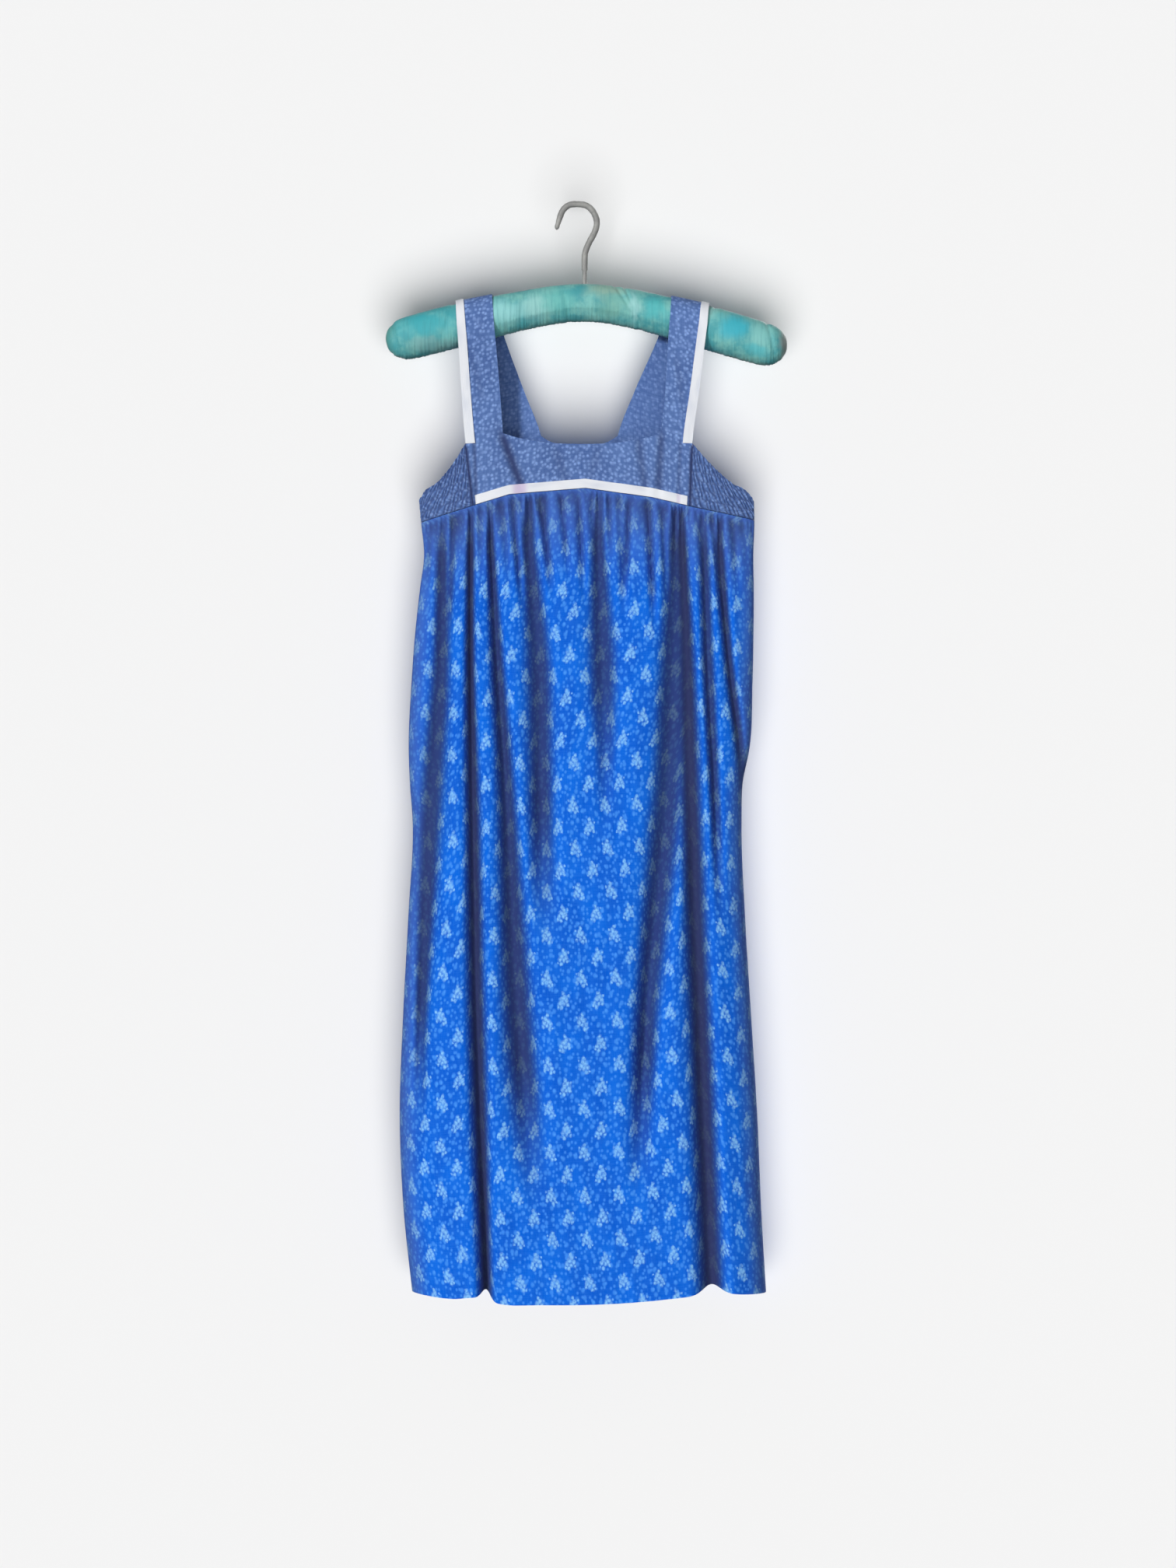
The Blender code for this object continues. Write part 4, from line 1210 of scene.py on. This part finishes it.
def make_strap_tape(node, side, materials):
    """White tape on a strap's outer edge, from its front foot over the hanger to its back foot."""

    def tape_row(facing, level):
        strap = yoke_row(facing, (0, 1) if side < 0 else (2, 3), level)
        width = np.linalg.norm(strap[1] - strap[0])
        share = mixed(TAPE_WIDTH_ON_SHOULDER, TAPE_WIDTH_AT_FOOT, min(level / 2, 1.0)) / width
        ends = (0, share) if side < 0 else (3 - share, 3)
        laterals = np.linspace(*ends, TAPE_POINTS)
        return yoke_row(facing, laterals, level)

    foot = 2 + (TAPE_END_DROP - NECK_CORNER_DROP) / (YOKE_FOOT_DROP - NECK_CORNER_DROP)
    levels = [level for level in yoke_levels() if level < foot - TAPE_LAST_LEVEL] + [foot]
    back = [tape_row(BACK, level) for level in reversed(levels)]
    front = [tape_row(FRONT, level) for level in levels]
    grid = np.array(back[:-1] + front)
    outer = grid + (SEAM_GAP + TAPE) * grid_normals(grid)
    make_tape(node, outer, 0, materials, ["yoke_front", "yoke_back"])


# Purplish tints on the front tape: where each lies across, its half width and its share
FRONT_TAPE_TINTS = table(
    "across width share",
    (-0.0700, 0.0075, 0.75),
    (-0.0016, 0.0005, 0.50),
    (0.0968, 0.0018, 0.45),
)


def make_front_tape(node, materials):
    """White tape over the foot of the front yoke."""
    start = (FRONT_TAPE_SHORT, 1, FRONT_TAPE_END_COLUMNS)
    end = (2, 3 - FRONT_TAPE_SHORT, FRONT_TAPE_END_COLUMNS)
    laterals = stepped(start, (1, 2, FRONT_TAPE_COLUMNS), end)
    foot = yoke_row(FRONT, laterals, 3.0)
    neck = yoke_row(FRONT, laterals, 2.0)
    rise = FRONT_TAPE_WIDTH / (neck[:, 2] - foot[:, 2])
    shares = np.linspace(1, 0, FRONT_TAPE_ROWS)
    grid = np.array([foot + (neck - foot) * (rise * share)[:, None] for share in shares])
    grid = pressed_in(grid, FRONT, YOKE_CREASES[FRONT], FRONT_TAPE_CREASED)
    outer = grid + (SEAM_GAP + TAPE) * grid_normals(grid)
    across = outer[..., 0] - MIDDLE_X
    stain = sum(share * bell((across - at) / wide, 4) for at, wide, share in FRONT_TAPE_TINTS)
    make_tape(node, outer, 1, materials, ["yoke_front"], level_rims=True, marks={"stain": stain})


# Hanger


def pad_rings(ring_points, straight_rings, end_rings, size=0.0):
    """Rings round the padding, made smaller all round by size."""
    straight = PAD_REACH - PAD_END
    turns = np.linspace(0, PAD_LAST_TURN, end_rings + 1)[1:]
    end = [(straight + PAD_END * math.sin(turn), math.cos(turn)) for turn in turns]
    middle = [(across, 1.0) for across in np.linspace(-straight, straight, straight_rings)]
    angles = np.arange(ring_points) * 2 * math.pi / ring_points
    for across, closing in [(-a, c) for a, c in reversed(end)] + middle + end:
        fall = pad_mid_drop(across + PAD_END / 2) - pad_mid_drop(across - PAD_END / 2)
        lean = -math.atan2(fall, PAD_END)
        half = pad_half_height(across) * closing - size
        yield np.stack(
            [
                MIDDLE_X + across - half * np.sin(angles) * math.sin(lean),
                (half * PAD_DEPTH_SHARE) * np.cos(angles),
                -pad_mid_drop(across) + half * np.sin(angles) * math.cos(lean),
            ],
            axis=1,
        )


def loft_faces(ring_count, ring_points, clockwise=False):
    rings = np.arange(ring_count - 1)[:, None] * ring_points
    around = np.arange(ring_points)[None]
    beside = (around + 1) % ring_points
    up = rings + ring_points
    faces = np.stack([rings + around, rings + beside, up + beside, up + around], axis=-1)
    faces = faces.reshape(-1, 4).tolist()
    last = (ring_count - 1) * ring_points
    faces.append(list(range(ring_points))[::-1])
    faces.append(list(range(last, last + ring_points)))
    return [face[::-1] for face in faces] if clockwise else faces


PAD_STARTS_SMALLER = 0.0004
PAD_REMESH_TAKES = 0.0010
PAD_MOST_SWELL = 0.0009
PAD_GATHER_DEPTH = 0.0005
PAD_VOXEL = 0.004
PAD_RING_POINTS = 28
PAD_STRAIGHT_RINGS = 61
PAD_END_RINGS = 7
PAD_PRESSURE = 4.0
PAD_SWELL_FRAMES = 20
PAD_GATHERS_TOP = 0.35  # as shares of the half height, from the middle
PAD_GATHERS_GROW = 1.1
PAD_SEAM_TOP = -0.5
PAD_SEAM_DEPTH = 0.0010
PAD_SEAM_WIDTH = 0.0016


def of_vertices(mesh, what):
    return np.array([getattr(vertex, what) for vertex in mesh.vertices])


def stuffed(obj):
    """Lets the cover swell over its wadding, within a cap, and leaves plain mesh behind."""
    start = of_vertices(obj.data, "co")
    modifier = obj.modifiers.new("stuffing", "CLOTH")
    settings = modifier.settings
    settings.use_pressure = True
    settings.uniform_pressure_force = PAD_PRESSURE
    settings.effector_weights.gravity = 0.0
    scene = bpy.context.scene
    for number in range(1, PAD_SWELL_FRAMES + 1):
        scene.frame_set(number)
    graph = bpy.context.evaluated_depsgraph_get()
    swollen = obj.evaluated_get(graph).to_mesh()
    end = of_vertices(swollen, "co")
    obj.evaluated_get(graph).to_mesh_clear()
    obj.modifiers.remove(modifier)
    normals = of_vertices(obj.data, "normal")
    swell = np.clip(((end - start) * normals).sum(1, keepdims=True), 0, PAD_MOST_SWELL)
    obj.data.vertices.foreach_set("co", (start + swell * normals).ravel())
    obj.data.update()
    scene.frame_set(1)


# Creases of the cover: each runs from its top to its foot, in x and drop
PAD_CREASES = table(
    CREASE_FIELDS,
    (0.0430, 0.088, 0.0600, 0.116, 0.0022, 0.0012),
    (0.0520, 0.090, 0.0640, 0.122, 0.0018, 0.0010),
    (0.1390, 0.122, 0.1480, 0.100, 0.0022, 0.0010),
    (-0.1300, 0.100, -0.1380, 0.128, 0.0026, 0.0008),
    (-0.0560, 0.092, -0.0600, 0.120, 0.0030, 0.0006),
    (-0.0120, 0.100, -0.0080, 0.120, 0.0026, 0.0006),
    (0.2000, 0.122, 0.2060, 0.150, 0.0024, 0.0010),
    (-0.1960, 0.122, -0.1880, 0.150, 0.0024, 0.0010),
)


def reshaped(obj, kind, **settings):
    """Puts a modifier's result into the mesh."""
    modifier = obj.modifiers.new(kind.lower(), kind)
    for name, value in settings.items():
        setattr(modifier, name, value)
    graph = bpy.context.evaluated_depsgraph_get()
    mesh = bpy.data.meshes.new_from_object(obj.evaluated_get(graph))
    obj.modifiers.remove(modifier)
    obj.data = mesh


def make_padding(materials):
    """The hanger's padding: a stuffed cover, gathered along its underside."""
    size = PAD_STARTS_SMALLER - PAD_REMESH_TAKES
    rings = list(pad_rings(PAD_RING_POINTS, PAD_STRAIGHT_RINGS, PAD_END_RINGS, size))
    faces = loft_faces(len(rings), PAD_RING_POINTS)
    obj = mesh_object("padding", np.concatenate(rings), faces, [materials["teal"]])
    reshaped(obj, "REMESH", mode="VOXEL", voxel_size=PAD_VOXEL)
    stuffed(obj)
    reshaped(obj, "SUBSURF", levels=2)
    mesh = obj.data
    points, normals = of_vertices(mesh, "co"), of_vertices(mesh, "normal")
    across = points[:, 0] - MIDDLE_X
    drop = -points[:, 2]
    height = (pad_mid_drop(across) - drop) / pad_half_height(across)
    # Gathers are drawn up at the seam underneath, and die out up the sides.
    low = eased((PAD_GATHERS_TOP - height) / PAD_GATHERS_GROW)
    gathers = 0.5 + 0.5 * np.sin(across * 1500 + 2.0 * np.sin(across * 410) + 5 * np.sin(across * 97))
    depth = PAD_GATHER_DEPTH * low * gathers**1.5
    seam = PAD_SEAM_DEPTH * bell(points[:, 1] / PAD_SEAM_WIDTH) * (height < PAD_SEAM_TOP)
    depth += crease_depth(PAD_CREASES, points[:, 0], drop)
    points -= (depth + seam)[:, None] * normals
    mesh.vertices.foreach_set("co", points.astype(np.float32).ravel())
    mesh.materials.clear()
    mesh.materials.append(materials["teal"])
    mesh.update()
    mesh.shade_smooth()
    stand_for(obj, "hanger_padding", "teal_cloth")


HOOK_RINGS = 220
HOOK_RING_POINTS = 18
SLEEVE_END_DROP = 0.066
WIRE_RADIUS = 0.0024
STEM_RINGS = 23
TIP_RINGS = 6
HOOK_WAVE = 0.00012
SLEEVE_END_STEP = 0.0006


def make_hook(materials):
    places = range(len(HOOK))
    steps = np.linspace(0, places[-1], HOOK_RINGS)
    x = smooth(places, [point.x for point in HOOK], steps)
    z = -smooth(places, [point.drop for point in HOOK], steps)
    radius = mixed(HOOK_TIP_RADIUS, HOOK_RADIUS, eased(steps / HOOK_TAPER_POINTS))
    radius = radius + HOOK_WAVE * np.sin(steps * 9.0) * np.sin(steps * 3.7)
    last = -(pad_top_drop() + STEM_BURIED)
    run = np.linspace(0, 1, STEM_RINGS + 1)[1:]
    x = np.concatenate([x, np.full(STEM_RINGS, HOOK[-1].x)])
    z = np.concatenate([z, mixed(z[-1], last, run)])
    radius = np.concatenate([radius, np.full(STEM_RINGS, radius[-1])])
    bare = eased((-z - SLEEVE_END_DROP) / SLEEVE_END_STEP)
    radius = mixed(radius, WIRE_RADIUS, bare)
    # The tip is rounded.
    tip = np.linspace(0, 1, TIP_RINGS)
    radius[:TIP_RINGS] *= np.sqrt(np.clip(1 - (1 - tip) ** 2, 0.06, 1))
    along = np.stack([np.gradient(x), np.gradient(z)], axis=1)
    along /= np.linalg.norm(along, axis=1, keepdims=True)
    angles = np.arange(HOOK_RING_POINTS) * 2 * math.pi / HOOK_RING_POINTS
    out = radius[:, None] * np.cos(angles)[None]
    points = np.stack(
        [
            x[:, None] - out * along[:, 1:2],
            radius[:, None] * np.sin(angles)[None],
            z[:, None] + out * along[:, 0:1],
        ],
        axis=-1,
    )
    faces = loft_faces(len(points), HOOK_RING_POINTS, clockwise=True)
    obj = mesh_object("hook", points.reshape(-1, 3), faces, [materials["hook"]])
    stand_for(obj, "hanger_hook", "hook_cover")


# Studio


def make_stage():
    """A pale wall behind the hanger. It shows from the front only, so that the dress can be
    seen from behind."""
    points = [(x, WALL_BEHIND, z) for x, z in ((-1, -1), (1, -1), (1, 1), (-1, 1))]
    points = [(x * STAGE_HALF, y, z * STAGE_HALF) for x, y, z in points]
    faces = [(0, 1, 2, 3)]
    look = Shading("studio_wall")
    look.set(base_color=(WALL_TONE,) * 3 + (1.0,), roughness=1.0, specular_ior_level=0.0)
    clear_from_behind(look)
    stage_object("studio_backdrop", points, faces, look)


def make_room():
    """Pale walls all round, which show in views from the sides and from behind. They face in,
    and they glow evenly, but give the dress no light."""
    corners = [(x, y, z) for z in (-ROOM_HALF, ROOM_HALF) for y in (-1, 1) for x in (-1, 1)]
    points = [(x * ROOM_HALF, y * ROOM_HALF, z) for x, y, z in corners]
    faces = [(0, 1, 3, 2), (4, 6, 7, 5), (0, 4, 5, 1), (2, 3, 7, 6), (0, 2, 6, 4), (1, 5, 7, 3)]
    look = Shading("studio_room")
    look.set(base_color=(0.0, 0.0, 0.0, 1.0), roughness=1.0, specular_ior_level=0.0)
    look.set(emission_color=(ROOM_TONE,) * 3 + (1.0,), emission_strength=1.0)
    clear_from_behind(look)
    stage_object("studio_room", points, faces, look)


def clear_from_behind(look):
    behind = look.node("ShaderNodeNewGeometry").outputs["Backfacing"]
    clear = look.node("ShaderNodeBsdfTransparent").outputs[0]
    chosen = look.node("ShaderNodeMixShader")
    look.put(chosen.inputs[0], behind)
    look.put(chosen.inputs[1], look.shader.outputs[0])
    look.put(chosen.inputs[2], clear)
    output = look.tree.nodes["Material Output"]
    look.put(output.inputs["Surface"], chosen.outputs[0])


def stage_object(name, points, faces, look):
    stage = mesh_object(name, np.array(points), faces, [look.material])
    stage.visible_shadow = False
    stage.visible_diffuse = False
    stage.visible_glossy = False


def make_suns():
    """Suns for the dress, and one that lights only the wall, from below."""
    on_dress = bpy.data.collections.new("lit_dress")
    on_wall = bpy.data.collections.new("lit_wall")
    for obj in bpy.context.scene.collection.objects:
        if obj.type == "MESH":
            (on_wall if obj.name.startswith("studio") else on_dress).objects.link(obj)
    for sun in SUNS:
        data = bpy.data.lights.new(sun.name, "SUN")
        data.angle = sun.spread
        data.energy = sun.strength
        data.color = sun.color
        light = bpy.data.objects.new(sun.name, data)
        light.location = -2 * Vector(sun.travel)
        light.rotation_mode = "QUATERNION"
        light.rotation_quaternion = Vector(sun.travel).to_track_quat("-Z", "Y")
        light.light_linking.receiver_collection = on_dress if sun.on_dress else on_wall
        bpy.context.scene.collection.objects.link(light)


def make_world():
    world = bpy.data.worlds.new("studio_world")
    world.use_nodes = True
    background = world.node_tree.nodes["Background"]
    background.inputs["Color"].default_value = (1.0, 1.0, 1.0, 1.0)
    background.inputs["Strength"].default_value = WORLD_STRENGTH
    bpy.context.scene.world = world


def make_camera():
    data = bpy.data.cameras.new("camera")
    frame_width = FRAME_WIDTH_PX * PIXEL
    frame_height = FRAME_HEIGHT_PX * PIXEL
    data.sensor_fit = "AUTO"
    data.sensor_width = SENSOR * 1000
    data.lens = SENSOR * 1000 * CAMERA_DISTANCE / max(frame_width, frame_height)
    camera = bpy.data.objects.new("camera", data)
    camera.location = (
        (FRAME_WIDTH_PX / 2 - ORIGIN_PX[0]) * PIXEL,
        -CAMERA_DISTANCE,
        -(FRAME_HEIGHT_PX / 2 - ORIGIN_PX[1]) * PIXEL,
    )
    camera.rotation_euler = (math.pi / 2, 0, 0)
    bpy.context.scene.collection.objects.link(camera)
    bpy.context.scene.camera = camera


def main():
    bpy.context.scene.view_settings.view_transform = "Standard"
    make_camera()
    make_world()
    make_stage()
    make_room()
    materials = make_materials()
    for facing, face in ((FRONT, "front"), (BACK, "back")):
        make_yoke(f"yoke_{face}", facing, materials)
        for side, hand in ((-1, "right"), (1, "left")):
            make_side_panel(f"side_panel_{face}_{hand}", facing, side, materials)
        make_skirt(f"skirt_{face}", facing, materials)
    make_strap_tape("tape_strap_right", -1, materials)
    make_strap_tape("tape_strap_left", 1, materials)
    make_front_tape("tape_front", materials)
    make_padding(materials)
    make_hook(materials)
    make_suns()


main()
